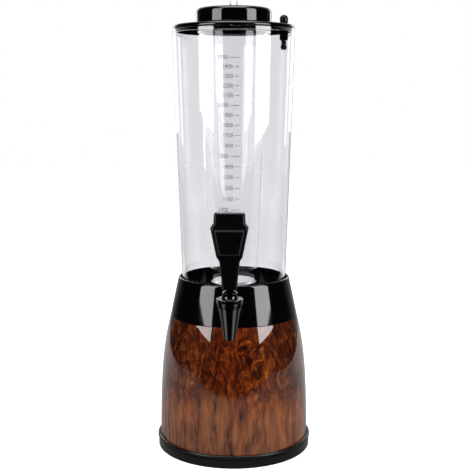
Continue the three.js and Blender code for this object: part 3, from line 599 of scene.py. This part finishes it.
footRing = {
    "rimInner": 83.05, "rimRadius": 85.3, "padRadius": 62.3, "padRecess": 2.3, "floorTop": 4.0,
    "beadBottom": 9.8, "beadProud": 0.8, "beadTop": 12.0, "edge": 0.35, "recessRadius": 3.8,
    "recessDepth": 1.8, "screwCircle": 72.0, "screwCount": 4,
}


def makeFootRing(size):
    low, high = boxOf("base_cover")
    bead = high.x
    flat = (bead, size["beadTop"])
    crown = ((size["rimInner"] + size["rimRadius"]) / 2, high.z)
    bm = turned([
        *named(size, (0, "padRecess"), ("padRadius", "padRecess"), ("padRadius", low.z),
               ("rimRadius", low.z), ("rimRadius", "beadBottom")),
        (bead, size["beadBottom"] + size["beadProud"]), flat, *bend(flat, (bead, high.z), crown, 6),
        *named(size, ("rimInner", high.z), ("rimInner", "floorTop"), (0, "floorTop")),
    ], closed=False)
    soften(bm, size["edge"], 30)
    recesses = []
    for i in range(size["screwCount"]):
        angle = 2 * math.pi * (i + 0.5) / size["screwCount"]
        recess = bmesh.new()
        bmesh.ops.create_cone(recess, cap_ends=True, segments=48, radius1=size["recessRadius"],
                              radius2=size["recessRadius"], depth=2 * size["recessDepth"])
        recesses.append(shift(recess, size["screwCircle"] * math.cos(angle),
                              size["screwCircle"] * math.sin(angle), low.z))
    addPiece("footRing", cutAway(bm, recesses), blackFoot, "tower", "base_cover")


makeFootRing(footRing)


woodShell = {"wall": 2.4, "lower": 0.58, "upper": 0.231, "lean": 0.252, "topRadius": 70.7,
             "flangeInner": 53.9, "flangeBottom": 134.0, "flangeTop": 136.4, "edge": 0.25, "steps": 40}


def makeWoodShell(size):
    low, high = boxOf("base_shell")
    rise = high.z - low.z
    top = size["topRadius"]

    def side(inset):
        foot = Vector((high.x - inset, low.z))
        head = Vector((top - inset, high.z))
        lowHandle = foot + Vector((0, size["lower"] * rise))
        highHandle = head + Vector((size["lean"], -1)) * size["upper"] * rise
        return [tuple(p) for p in interpolate_bezier(foot, lowHandle, highHandle, head, size["steps"])]

    outer, inner = side(0), side(size["wall"])
    bm = turned(outer + inner[::-1], 160)
    soften(bm, size["edge"], 40, 2)
    above = [r for r, h in side(size["wall"] / 2) if h > size["flangeBottom"]][0]
    addInto(bm, ringOf(size["flangeInner"], above, size["flangeBottom"], size["flangeTop"], 128))
    addPiece("woodShell", bm, burlWood, "tower", "base_shell", 35)


makeWoodShell(woodShell)
print("foot and shell made")


# Collar, with the shelf that carries the tank and the boss for the tap

collarSize = {
    "seam": 150.0, "shoulderRadius": 62.03, "shoulderHeight": 189.5, "rimControl": 61.26,
    "lip": 59.03, "lipFlat": 0.6, "spigotOuter": 68.0, "spigotInner": 65.6, "wall": 2.4, "innerMeet": 162.3,
    "shelfBottom": 142.1, "shelfTop": 144.7, "shelfInner": 42.2, "edge": 0.5,
    "bossRadius": 11.8, "bossBack": 59.9, "bossFace": 70.2, "bossHeight": 168.0, "bossHole": 7.9,
}


def makeCollar(size):
    high = boxOf("collar")[1]
    shoulder = (size["shoulderRadius"], size["shoulderHeight"])
    bm = turned([
        *named(size, ("shelfInner", "shelfBottom"), ("spigotOuter", "shelfBottom"),
               ("spigotOuter", "seam"), (high.x, "seam")), shoulder,
        *bend(shoulder, (size["rimControl"], high.z), (size["lip"] + size["lipFlat"], high.z), 10),
        (size["lip"], high.z - size["lipFlat"]), (size["lip"], size["shoulderHeight"]),
        (size["shoulderRadius"] - size["wall"], size["shoulderHeight"]),
        *named(size, ("spigotInner", "innerMeet"), ("spigotInner", "shelfTop"), ("shelfInner", "shelfTop")),
    ], 160)
    soften(bm, size["edge"], 28)
    boss = ringOf(size["bossHole"], size["bossRadius"], -size["bossFace"], -size["bossBack"])
    soften(boss, size["edge"], 28)
    addInto(bm, shift(alongY(boss), z=size["bossHeight"]))
    addPiece("collarCone", bm, blackGloss, "tower", "collar")


makeCollar(collarSize)


# Tank and ice tube

tankSize = {"footRadius": 56.2, "wall": 2.2, "floor": 3.0, "corner": 4.0, "cornerOver": 1.0, "rimEdge": 0.6,
            "padRadius": 11.0, "padFace": 57.7, "padBack": 52.3, "padHeight": 168.0, "padHole": 7.9,
            "holeSpare": 1}


def makeTank(size):
    low, high = boxOf("tank")
    taper = (high.x - size["footRadius"]) / (high.z - low.z)
    floor = low.z + size["floor"]
    innerCorner = size["footRadius"] + taper * size["corner"] - size["wall"]
    wallFoot = (innerCorner, low.z + size["corner"] + size["cornerOver"])
    bm = turned([
        *roundedFoot(low.z, size["footRadius"], size["corner"], taper), (high.x, high.z),
        (high.x - size["wall"], high.z), wallFoot,
        *bend(wallFoot, (innerCorner, floor), (size["footRadius"] - size["corner"], floor)), (0, floor),
    ], 160, closed=False)
    soften(bm, size["rimEdge"], 60, 4)

    def disc(radius, spare):  # on the tap's axis, as thick as the pad and what is spare
        flat = ringOf(0, radius, size["padBack"] - spare, size["padFace"] + spare, 64)
        bmesh.ops.rotate(shift(alongY(flat), z=size["padHeight"]), cent=(0, 0, size["padHeight"]),
                         matrix=Matrix.Rotation(math.pi, 3, "Z"), verts=flat.verts)
        return flat

    bm = cutAway(bm, [disc(size["padHole"], size["holeSpare"])], [disc(size["padRadius"], 0)])
    tank = addPiece("clearTank", bm, clearPlastic, "tower", "tank", 50)
    tank.visible_shadow = False


makeTank(tankSize)

iceSize = {"footRadius": 25.6, "taper": 0.0399, "wall": 2.0, "floor": 2.5, "corner": 2.0, "rimEdge": 0.4,
           "innerCorner": 0.6, "seat": 468.5, "seatRadius": 36.87, "neckWall": 2.0}


def makeIceTube(size):
    low, high = boxOf("ice_tube")
    floor = low.z + size["floor"]
    inner = size["footRadius"] + size["taper"] * size["corner"] - size["wall"]
    neckInner = high.x - size["neckWall"]
    bm = turned([
        *roundedFoot(low.z, size["footRadius"], size["corner"], size["taper"]),
        *named(size, ("seatRadius", "seat"), (high.x, "seat")), (high.x, high.z), (neckInner, high.z),
        (neckInner, size["seat"] + size["wall"]), (size["seatRadius"] - size["wall"], size["seat"]),
        (inner, floor + size["innerCorner"]), (inner - size["innerCorner"], floor), (0, floor),
    ], 128, closed=False)
    soften(bm, size["rimEdge"], 60, 3)
    secondFinish(bm, lambda middle, normal: abs(middle.z - floor) < near)  # the bottom's inside is frosted
    tube = addPiece("iceTube", bm, clearIce, "ice_tube", "ice_tube", 50, frostedIce)
    tube.visible_shadow = False


makeIceTube(iceSize)
print("collar, tank and ice tube made")


# Lid, vent, cap and loop

lidSize = {
    "rim": 461.7, "skirtDepth": 3.4, "skirtOuter": 63.4, "skirtInner": 61.0, "gap": 0.3, "edgeChamfer": 0.6,
    "edgeTop": 1.5, "shoulderWidth": 4.8, "shoulderTop": 4.5, "plate": 2.6, "holeRadius": 37.27,
    "neckOuter": 39.47, "neckDepth": 8.4, "edge": 0.35, "bossRadius": 4.5, "bossHole": 3.1,
    "bossBottom": 450.2, "ventX": 53.9, "mattOver": 0.3,
}


def makeLid(size):
    high = boxOf("lid")[1]
    rim = size["rim"]
    skirtFoot, skirtHead = rim - size["skirtDepth"], rim + size["gap"]
    edge = (high.x, rim + size["edgeTop"])
    shoulder = (high.x - size["shoulderWidth"], rim + size["shoulderTop"])
    bm = turned([
        (size["holeRadius"], high.z - size["neckDepth"]), (size["neckOuter"], high.z - size["neckDepth"]),
        (size["neckOuter"], high.z - size["plate"]),
        (size["skirtInner"], rim + size["shoulderTop"] - size["plate"]),
        *named(size, ("skirtInner", skirtFoot), ("skirtOuter", skirtFoot), ("skirtOuter", skirtHead)),
        (high.x - size["edgeChamfer"], skirtHead), (high.x, skirtHead + size["edgeChamfer"]), edge,
        *bend(edge, (high.x, rim + size["shoulderTop"]), shoulder, 10), (size["holeRadius"], high.z),
    ], 160)
    soften(bm, size["edge"], 28)
    boss = ringOf(size["bossHole"], size["bossRadius"], size["bossBottom"], rim + size["plate"], 64)
    soften(boss, size["edge"], 28)
    addInto(bm, shift(boss, size["ventX"]))

    def inside(middle, normal):  # between the neck and the skirt, under the plate
        reach = math.hypot(middle.x, middle.y)
        between = size["neckOuter"] - near < reach < size["skirtInner"] + size["mattOver"]
        return between and middle.z < rim + size["shoulderTop"]

    secondFinish(bm, inside)
    addPiece("lidShell", bm, blackGloss, "lid", "lid", second=blackMatt)


makeLid(lidSize)

ventSize = {"stemRadius": 2.8, "footRadius": 3.6, "headRadius": 4.6, "seat": 466.9, "headHeight": 5.6,
            "barbTop": 445.0, "barbRadius": 3.8, "barbHeight": 2.2, "tipRadius": 2.2, "edge": 0.25,
            "domeSteps": 12}


def makeVent(size):
    low, high = boxOf("vent_plug")
    head = size["seat"] + size["headHeight"]
    radius, foot = size["headRadius"], (size["footRadius"], size["seat"])
    turns = [math.pi / 2 * i / size["domeSteps"] for i in range(1, size["domeSteps"])]
    dome = [(radius * math.cos(turn), head + radius * math.sin(turn)) for turn in turns]
    bm = turned([
        (0, low.z), (size["tipRadius"], low.z), (size["barbRadius"], size["barbTop"] - size["barbHeight"]),
        *named(size, ("stemRadius", "barbTop"), ("stemRadius", "seat")), foot,
        *bend(foot, (radius, (size["seat"] + head) / 2), (radius, head)), *dome, (0, high.z),
    ], 64, closed=False)
    soften(bm, size["edge"], 28)
    addPiece("ventPlug", shift(bm, lidSize["ventX"]), ventRubber, "vent", "vent_plug")


makeVent(ventSize)

capSize = {"inner": 38.82, "wallTop": 10.8, "neckTop": 10.9, "roof": 2.2, "crown": 0.4, "flat": 0.766,
           "edge": 0.35}


def makeCap(size):
    low, high = boxOf("tube_cap")
    rise = high.z - low.z

    def over(radius, wallTop, domeTop):
        flat = (radius * size["flat"], domeTop - size["crown"])
        return [(radius, wallTop), *bend((radius, wallTop), (radius, flat[1]), flat, 14), (0, domeTop)]

    under = over(size["inner"], size["neckTop"], rise - size["roof"])[::-1]
    outer = over(high.x, size["wallTop"], rise)
    bm = turned([*under, (size["inner"], 0), (high.x, 0), *outer], 160, closed=False)
    soften(bm, size["edge"], 28)
    addPiece("iceCap", shift(bm, z=low.z), blackGloss, "ice_cap", "tube_cap")


makeCap(capSize)

loopSize = {"halfWidth": 3.5, "wire": 0.5, "footRadius": 2.3, "footHeight": 7.0, "sunk": 0.3,
            "straight": 10.9, "crownSteps": 10}


def makeLoop(size):  # a wire that widens into two feet, as one curve with changing thickness
    low = boxOf("tube_cap")[1].z + size["sunk"]
    half, wire = size["halfWidth"], size["wire"]
    start, tall = (size["footRadius"], 0.0), size["footHeight"]
    foot = [start, *bend(start, (wire, tall / 4), (wire, tall))]
    leg = [(-half, low + height, radius) for radius, height in foot]
    crown = []
    for i in range(size["crownSteps"] + 1):
        angle = math.pi * i / size["crownSteps"]
        crown.append((-half * math.cos(angle), low + size["straight"] + half * math.sin(angle), wire))
    path = leg + crown + [(-x, z, radius) for x, z, radius in leg[::-1]]
    data = bpy.data.curves.new("loopLine", "CURVE")
    data.dimensions = "3D"
    data.bevel_depth = 1.0
    data.bevel_resolution = 6
    data.use_fill_caps = True
    line = data.splines.new("POLY")
    line.points.add(len(path) - 1)
    for point, (x, z, radius) in zip(line.points, path):
        point.co = (x, 0, z, 1)
        point.radius = radius
    bm = curveShape(data)
    bmesh.ops.recalc_face_normals(bm, faces=bm.faces)
    addPiece("capLoop", bm, steel, "ice_cap", "cap_loop", 50)


makeLoop(loopSize)
print("lid, vent, cap and loop made")


# Tap

tapPlace = {"y": -103.0, "z": 168.0, "pivot": 16.0}


def atTap(bm):
    return shift(bm, y=tapPlace["y"], z=tapPlace["z"])


tapSize = {
    "mouth": 3.9, "tip": 5.9, "tipZ": -22.0, "top": 11.8, "topZ": 11.6, "neck": 9.6, "neckZ": 19.0,
    "pocket": 7.4, "pocketZ": 10.0, "chamber": 5.8, "chamberZ": -4.0, "barrel": 9.6, "flange": 11.5,
    "flangeFrom": 28.1, "flangeTo": 30.6, "shank": 7.6, "shankTo": 59.7, "bore": 6.0, "boreFrom": 20.0,
    "spare": 1.0, "edge": 0.35,
    "shaftBore": 4.4, "shaftFrom": -7.5, "reliefHalf": 2.2, "reliefReach": 11.0,
}


def makeTapBody(size):
    bm = turned(named(
        size, (0, "tipZ"), ("tip", "tipZ"), ("top", "topZ"), ("neck", "topZ"), ("neck", "neckZ"),
        (0, "neckZ"),
    ), 96, closed=False)
    soften(bm, size["edge"], 28)
    barrel = turned(named(
        size, (0, 0), ("barrel", 0), ("barrel", "flangeFrom"), ("flange", "flangeFrom"),
        ("flange", "flangeTo"), ("shank", "flangeTo"), ("shank", "shankTo"), ("bore", "shankTo"),
        ("bore", "boreFrom"), (0, "boreFrom"),
    ), 96, closed=False)
    soften(barrel, size["edge"], 28)
    below, above = size["tipZ"] - size["spare"], size["neckZ"] + size["spare"]
    passage = turned(named(
        size, (0, below), ("mouth", below), ("mouth", "tipZ"), ("chamber", "chamberZ"),
        ("chamber", "pocketZ"), ("pocket", "pocketZ"), ("pocket", above), (0, above),
    ), 96, closed=False)
    shaftWay = ringOf(0, size["shaftBore"], size["shaftFrom"], size["boreFrom"] + size["spare"], 64)
    relief = bmesh.new()  # room for the lever's finger
    bmesh.ops.create_cube(relief, size=1)
    span = (2 * size["reliefHalf"], size["reliefReach"], size["pocketZ"])
    bmesh.ops.scale(relief, vec=span, verts=relief.verts)
    shift(relief, y=size["reliefReach"] / 2, z=size["pocketZ"] / 2)
    body = cutAway(bm, [passage, alongY(shaftWay), relief], [alongY(barrel)])
    addPiece("tapSpout", atTap(body), blackGloss, "tower", "tap_body")


makeTapBody(tapSize)

bonnetSize = {
    "foot": 12.3, "radius": 13.7, "bottom": 11.9, "taper": 4.4, "height": 8.6, "groove": 0.35,
    "domeFoot": 9.1, "domeNeck": 7.6, "sphere": 13.4, "socket": 6.5, "pocket": 7.4, "inner": 9.9,
    "neckZ": 19.3, "pocketZ": 20.0, "waistIn": 0.5, "waistUp": 2.0, "slotHalf": 2.7, "slotOver": 6.0,
    "swing": 30.0, "edge": 0.3, "steps": 10,
}


def makeBonnet(size):
    pivot = tapPlace["pivot"]
    ringTop = size["bottom"] + size["height"]
    taperTop = size["bottom"] + size["taper"]
    start = math.acos((size["pocketZ"] - pivot) / size["socket"])
    end = math.asin(size["domeNeck"] / size["sphere"])
    steps = size["steps"]

    def arc(radius, angle):  # from straight above the lever's pivot outwards
        turns = [angle * i / steps for i in range(steps + 1)]
        return [(radius * math.sin(turn), pivot + radius * math.cos(turn)) for turn in turns]

    socket, dome = arc(size["socket"], start), arc(size["sphere"], end)[::-1]
    waist = (size["domeNeck"] - size["waistIn"], ringTop + size["waistUp"])
    radius, groove, domeFoot = size["radius"], size["groove"], (size["domeFoot"], ringTop)
    bm = turned([
        *socket, *named(size, ("pocket", "pocketZ"), ("pocket", "neckZ"), ("inner", "neckZ"),
                        ("inner", "bottom"), ("foot", "bottom")),
        (radius, taperTop), (radius - groove, taperTop + groove), (radius, taperTop + 2 * groove),
        (radius, ringTop - groove), (radius - groove, ringTop), domeFoot,
        *bend(domeFoot, waist, dome[0]), *dome[1:],
    ], 96, closed=False)
    soften(bm, size["edge"], 34)
    half, far = size["slotHalf"], size["sphere"] + size["slotOver"]
    lean = math.radians(size["swing"])
    ahead = Vector((0, -math.sin(lean), math.cos(lean)))
    across = Vector((0, -math.cos(lean), -math.sin(lean)))
    slot = bmesh.new()
    corners = [Vector((0, half, 0)), Vector((0, half, far)), Vector((0, -far * math.sin(lean), far)),
               ahead * far + across * half, across * half]
    face = slot.faces.new([slot.verts.new(c + Vector((-half, 0, pivot))) for c in corners])
    grown = bmesh.ops.extrude_face_region(slot, geom=[face])
    moved = [v for v in grown["geom"] if isinstance(v, bmesh.types.BMVert)]
    bmesh.ops.translate(slot, vec=(2 * half, 0, 0), verts=moved)
    bmesh.ops.recalc_face_normals(slot, faces=slot.faces)
    addPiece("tapBonnet", atTap(cutAway(bm, [slot])), blackGloss, "tower", "tap_bonnet")


makeBonnet(bonnetSize)

handleSize = {"edge": 0.55, "segments": 3, "angle": 9, "panelProud": 0.9, "slanted": 0.95}


def makeHandle(size):  # the CAD's paddle with rounded edges and a frosted bevel round its panel, whose lighter colour is a painted highlight
    bm = copyOf("tap_handle")
    paddleFace = boxOf("tap_handle")[0].y + size["panelProud"]
    secondFinish(bm, lambda middle, normal: middle.y < paddleFace and abs(normal.y) < size["slanted"])
    soften(bm, size["edge"], size["angle"], size["segments"])
    addPiece("tapHandle", bm, blackSatin, "lever", "tap_handle", 30, paintedHighlightBevel)


makeHandle(handleSize)

washerSize = {"inner": 7.9, "edge": 0.3}
nutSize = {"edge": 0.4, "angle": 20}


def makeWashers(size):
    for node in ("flange_washer", "tank_washer", "nut_washer"):
        low, high = boxOf(node)
        bm = soften(ringOf(size["inner"], high.x, low.y, high.y), size["edge"], 28)
        ring = shift(alongY(bm), z=(low.z + high.z) / 2)
        addPiece(node + "Ring", ring, blackRubber, "tower", node)


def makeNut(size):
    bm = soften(copyOf("tap_nut"), size["edge"], size["angle"])
    addPiece("tapNut", bm, blackSatin, "tower", "tap_nut")


makeWashers(washerSize)
makeNut(nutSize)
print("tap made")


# Printed scale on the front of the tank

scaleSize = {
    "first": 1000, "last": 2500, "step": 100, "long": 500,
    "low": 273.3, "rise": 116.07, "droop": 7.87,  # height of the first mark, and its growth with each litre
    "right": 8.25, "shortTick": 4.4, "longTick": 9.5, "line": 0.5, "gap": 2.2, "tickCuts": 9,
    "digitSize": 6.0, "narrow": 0.76, "bold": 0.012, "spacing": 1.2, "lift": 0.03, "thick": 0.05,
    "merge": 0.001,
}


def wrapOnTank(bm, size):  # flat artwork (x across, y up, z out) laid round the tank's front
    low, high = boxOf("tank")
    foot = tankSize["footRadius"]
    for vert in bm.verts:
        across, up, out = vert.co
        radius = foot + (high.x - foot) * (up - low.z) / (high.z - low.z)
        angle = across / radius
        reach = radius + size["lift"] + out
        vert.co = (reach * math.sin(angle), -reach * math.cos(angle), up)


def makeScale(size):
    ticks, digits = bmesh.new(), bmesh.new()
    for volume in range(size["first"], size["last"] + 1, size["step"]):
        litres = (volume - size["first"]) / 1000
        height = size["low"] + size["rise"] * litres - size["droop"] * litres ** 2
        length = size["shortTick"] if volume % size["long"] else size["longTick"]
        tick = bmesh.new()
        bmesh.ops.create_cube(tick, size=1)
        across = [e for e in tick.edges if e.verts[0].co.x != e.verts[1].co.x]
        bmesh.ops.subdivide_edges(tick, edges=across, cuts=size["tickCuts"], use_grid_fill=True)
        bmesh.ops.scale(tick, vec=(length, size["line"], size["thick"]), verts=tick.verts)
        addInto(ticks, shift(tick, size["right"] - length / 2, height, size["thick"] / 2))

        label = bpy.data.curves.new("label", "FONT")
        label.body = str(volume)
        label.size = size["digitSize"]
        label.align_x = "RIGHT"
        label.align_y = "CENTER"
        label.extrude = size["thick"] / 2
        label.offset = size["bold"]
        label.space_character = size["spacing"]
        text = curveShape(label)
        bmesh.ops.scale(text, vec=(size["narrow"], 1, 1), verts=text.verts)
        addInto(digits, shift(text, size["right"] - length - size["gap"], height, size["thick"] / 2))
    for name, bm in (("scaleTicks", ticks), ("scaleNumbers", digits)):
        bmesh.ops.remove_doubles(bm, verts=bm.verts, dist=size["merge"])
        bmesh.ops.recalc_face_normals(bm, faces=bm.faces)
        wrapOnTank(bm, size)
        addPiece(name, bm, printedInk, "tower")


makeScale(scaleSize)
print("printed scale made")


# CAD nodes that are shown as they are

keptNodes = {
    "anti_slip_pad": blackRubber, "tank_gasket": blackRubber, "tube_seal": blackRubber,
    "ball_seat": paleSilicone, "friction_washer": paleSilicone, "valve_seal": paleSilicone,
    "valve_shaft": steel, "valve_nut": steel, "tap_lever": blackSatin,
}
keptNodes.update({name: steel for name in nodes if name.startswith(("base_screw", "collar_screw"))})

for name, material in keptNodes.items():
    for place in nodes[name].material_slots:
        place.material = material
print("kept nodes finished:", len(keptNodes))


# Floor, light and background

def seenDirectly(tree, rays):  # 1 for the camera and for what shows straight through clear pieces
    unmirrored = minus(tree, 1.0, rays["Glossy Depth"], clamp=True)
    through = times(tree, rays["Is Transmission Ray"], unmirrored)
    return plus(tree, rays["Is Camera Ray"], through, clamp=True)


def seenMirrored(tree, rays):  # 1 for what gloss and glass mirror, not for light that matt faces gather
    anyMirror = plus(tree, rays["Glossy Depth"], 0.0, clamp=True)
    undiffused = minus(tree, 1.0, rays["Diffuse Depth"], clamp=True)
    return times(tree, anyMirror, undiffused)


def mirroredLevel(tree, rays, opaque, behind, glass):  # after no face of clear pieces, after 1, after 4
    wall = smoothRise(tree, behind, backdrop["wallFrom"], backdrop["wallTo"])
    level = opaque
    for faces, clear in ((1, wall), (4, glass)):
        passed = mathNode(tree, "GREATER_THAN", rays["Transmission Depth"], faces - 0.5)
        level = mixed(tree, passed, level, clear)
    return level


def squareSum(tree, *parts):
    return plus(tree, *(mathNode(tree, "POWER", part, 2.0) for part in parts))


def backwards(tree, split):  # 1 straight behind the object, -1 straight before it
    reach = mathNode(tree, "SQRT", squareSum(tree, split["X"], split["Y"]))
    return mathNode(tree, "DIVIDE", split["Y"], reach)


backdrop = {"level": 0.42, "from": 0.44, "curve": 1.75, "dark": 0.003, "glassFrom": -0.1, "glassTo": 0.9,
            "glassLevel": 1.4, "wallFrom": 0.55, "wallTo": 0.85}


def backdropLevel(tree, split, setup):  # what opaque gloss mirrors: black, with a pale sheet behind
    span = evenRise(tree, backwards(tree, split), setup["from"], 1.0)
    bent = mathNode(tree, "POWER", span, setup["curve"])
    return plus(tree, times(tree, bent, setup["level"]), setup["dark"])


def glowing(tree, strength):
    values = {"Color": (1, 1, 1, 1), "Strength": strength}
    return addNode(tree, "Emission", values).outputs[0]


floorSize = {
    "half": 4.0, "white": 0.84, "speckle": 0.03, "speckleScale": 60.0, "glow": 0.8,
    "nearGlow": 0.43, "farGlow": 0.715, "nearY": 1.1, "farY": 2.8,  # the glow seen through clear pieces
    "tableHalf": 0.79, "tableFront": -0.43, "tableBack": 0.75, "tableEdge": 0.03, "tableFade": 0.3,
    "frontLevel": 0.24, "backLevel": 0.7, "levelFrom": -0.1, "levelTo": 0.4,
    "glassFrom": -0.3, "glassTo": 0.2, "glassLevel": 1.0,
    "poolX": 0.25, "poolY": -0.25, "poolRadius": 0.13, "poolLevel": 1.6, "poolFrom": 0.48, "poolTo": 0.64,
}


def makeFloor(size):  # white to look at; mirrored, it is a table's width of pale paper in a dark room
    bm = bmesh.new()
    bmesh.ops.create_grid(bm, x_segments=8, y_segments=8, size=size["half"])
    floor = plainObject("floor", bm)
    material, tree, shader = newMaterial("paleFloor")
    tree.nodes.remove(shader)
    rays = addNode(tree, "LightPath").outputs
    place = objectPlace(tree)
    split = splitOf(tree, place)
    white, paler = grey(size["white"]), grey(size["white"] + size["speckle"])
    paper = mixColours(tree, noiseAt(tree, place, size["speckleScale"], 4.0), white, paler)
    diffuse = addNode(tree, "BsdfDiffuse", {"Color": paper, "Roughness": 0.5}).outputs[0]
    behind = smoothRise(tree, split["Y"], size["nearY"], size["farY"],
                        size["glow"] - size["farGlow"], size["glow"] - size["nearGlow"])
    dimmed = times(tree, rays["Is Transmission Ray"], behind)
    shown = times(tree, seenDirectly(tree, rays), minus(tree, size["glow"], dimmed))
    plain = addNode(tree, "AddShader", {0: diffuse, 1: glowing(tree, shown)}).outputs[0]

    edge = size["tableEdge"]
    sideways = mathNode(tree, "ABSOLUTE", split["X"])
    onTable = smoothRise(tree, sideways, size["tableHalf"] + edge, size["tableHalf"] - edge)
    for low, high in ((size["tableFront"] - edge, size["tableFront"] + edge),
                      (size["tableBack"] + size["tableFade"], size["tableBack"])):
        onTable = times(tree, onTable, smoothRise(tree, split["Y"], low, high))
    paperLevel = smoothRise(tree, split["Y"], size["levelFrom"], size["levelTo"],
                            size["backLevel"], size["frontLevel"])
    away = squareSum(tree, minus(tree, sideways, size["poolX"]), minus(tree, split["Y"], size["poolY"]))
    pool = smoothRise(tree, away, size["poolRadius"] ** 2, 0.0, size["poolLevel"])
    tilt = addNode(tree, "LayerWeight", {"Blend": 0.5}).outputs["Facing"]
    steep = smoothRise(tree, tilt, size["poolTo"], size["poolFrom"])
    table = mixed(tree, steep, paperLevel, pool)  # what leans down mirrors two light pools in the dark
    opaque = mixed(tree, onTable, backdropLevel(tree, split, backdrop), table)
    glass = smoothRise(tree, split["Y"], size["glassFrom"], size["glassTo"],
                       size["glassLevel"], size["frontLevel"])
    mirrored = glowing(tree, mirroredLevel(tree, rays, opaque, backwards(tree, split), glass))
    choice = addNode(tree, "MixShader", {"Fac": seenMirrored(tree, rays), 1: plain, 2: mirrored})
    tree.links.new(choice.outputs[0], tree.nodes["Material Output"].inputs["Surface"])
    floor.data.materials.append(material)


makeFloor(floorSize)

studio = {
    "boxes": [  # azimuth from the front, distance from the axis, bottom, width, height, roll, radiance
        ("leftSoftbox", -48.8, 1.01, 0.283, 0.527, 0.8, -6.0, 4.9),
        ("rightSoftbox", 56.8, 1.0, 0.259, 0.527, 0.8, 5.5, 5.8),
        ("backLeftSoftbox", -150.0, 1.1, 0.3, 0.25, 0.6, 0.0, 2.5),
        ("backRightSoftbox", 152.0, 1.1, 0.3, 0.25, 0.6, 0.0, 2.5),
    ],
    "top": {"height": 1.5, "size": 0.9, "radiance": 4.0, "y": -0.05},
    "fill": 0.3,
}


def addArea(name, location, target, width, height, radiance, roll=0.0):
    data = bpy.data.lights.new(name, "AREA")
    data.shape = "RECTANGLE"
    data.size = width
    data.size_y = height
    data.energy = radiance * math.pi * width * height
    light = newObject(name, data)
    facing = (Vector(target) - Vector(location)).to_track_quat("-Z", "Y").to_matrix()
    light.rotation_euler = (facing @ Matrix.Rotation(math.radians(roll), 3, "Z")).to_euler()
    light.location = location
    light.visible_camera = False


def makeStudio(setup):
    for name, azimuth, distance, bottom, width, height, roll, radiance in setup["boxes"]:
        angle = math.radians(azimuth)
        middle = bottom + height / 2
        place = (distance * math.sin(angle), -distance * math.cos(angle), middle)
        addArea(name, place, (0, 0, middle), width, height, radiance, roll)
    top = setup["top"]
    above, below = (0, top["y"], top["height"]), (0, top["y"], 0)
    addArea("topSoftbox", above, below, top["size"], top["size"], top["radiance"])

    world = bpy.data.worlds.new("studio")
    bpy.context.scene.world = world
    world.use_nodes = True
    tree = world.node_tree
    rays = addNode(tree, "LightPath").outputs
    split = splitOf(tree, addNode(tree, "TexCoord").outputs["Generated"])
    glass = smoothRise(tree, split["Y"], backdrop["glassFrom"], backdrop["glassTo"], backdrop["glassLevel"])
    level = mirroredLevel(tree, rays, backdropLevel(tree, split, backdrop), split["Y"], glass)
    lit = mixed(tree, seenMirrored(tree, rays), setup["fill"], level)
    strength = mixed(tree, seenDirectly(tree, rays), lit, 1.0)
    fill(tree, tree.nodes["Background"], {"Color": (1, 1, 1, 1), "Strength": strength})


makeStudio(studio)
bpy.context.scene.view_settings.view_transform = "Standard"
print("floor and light set")
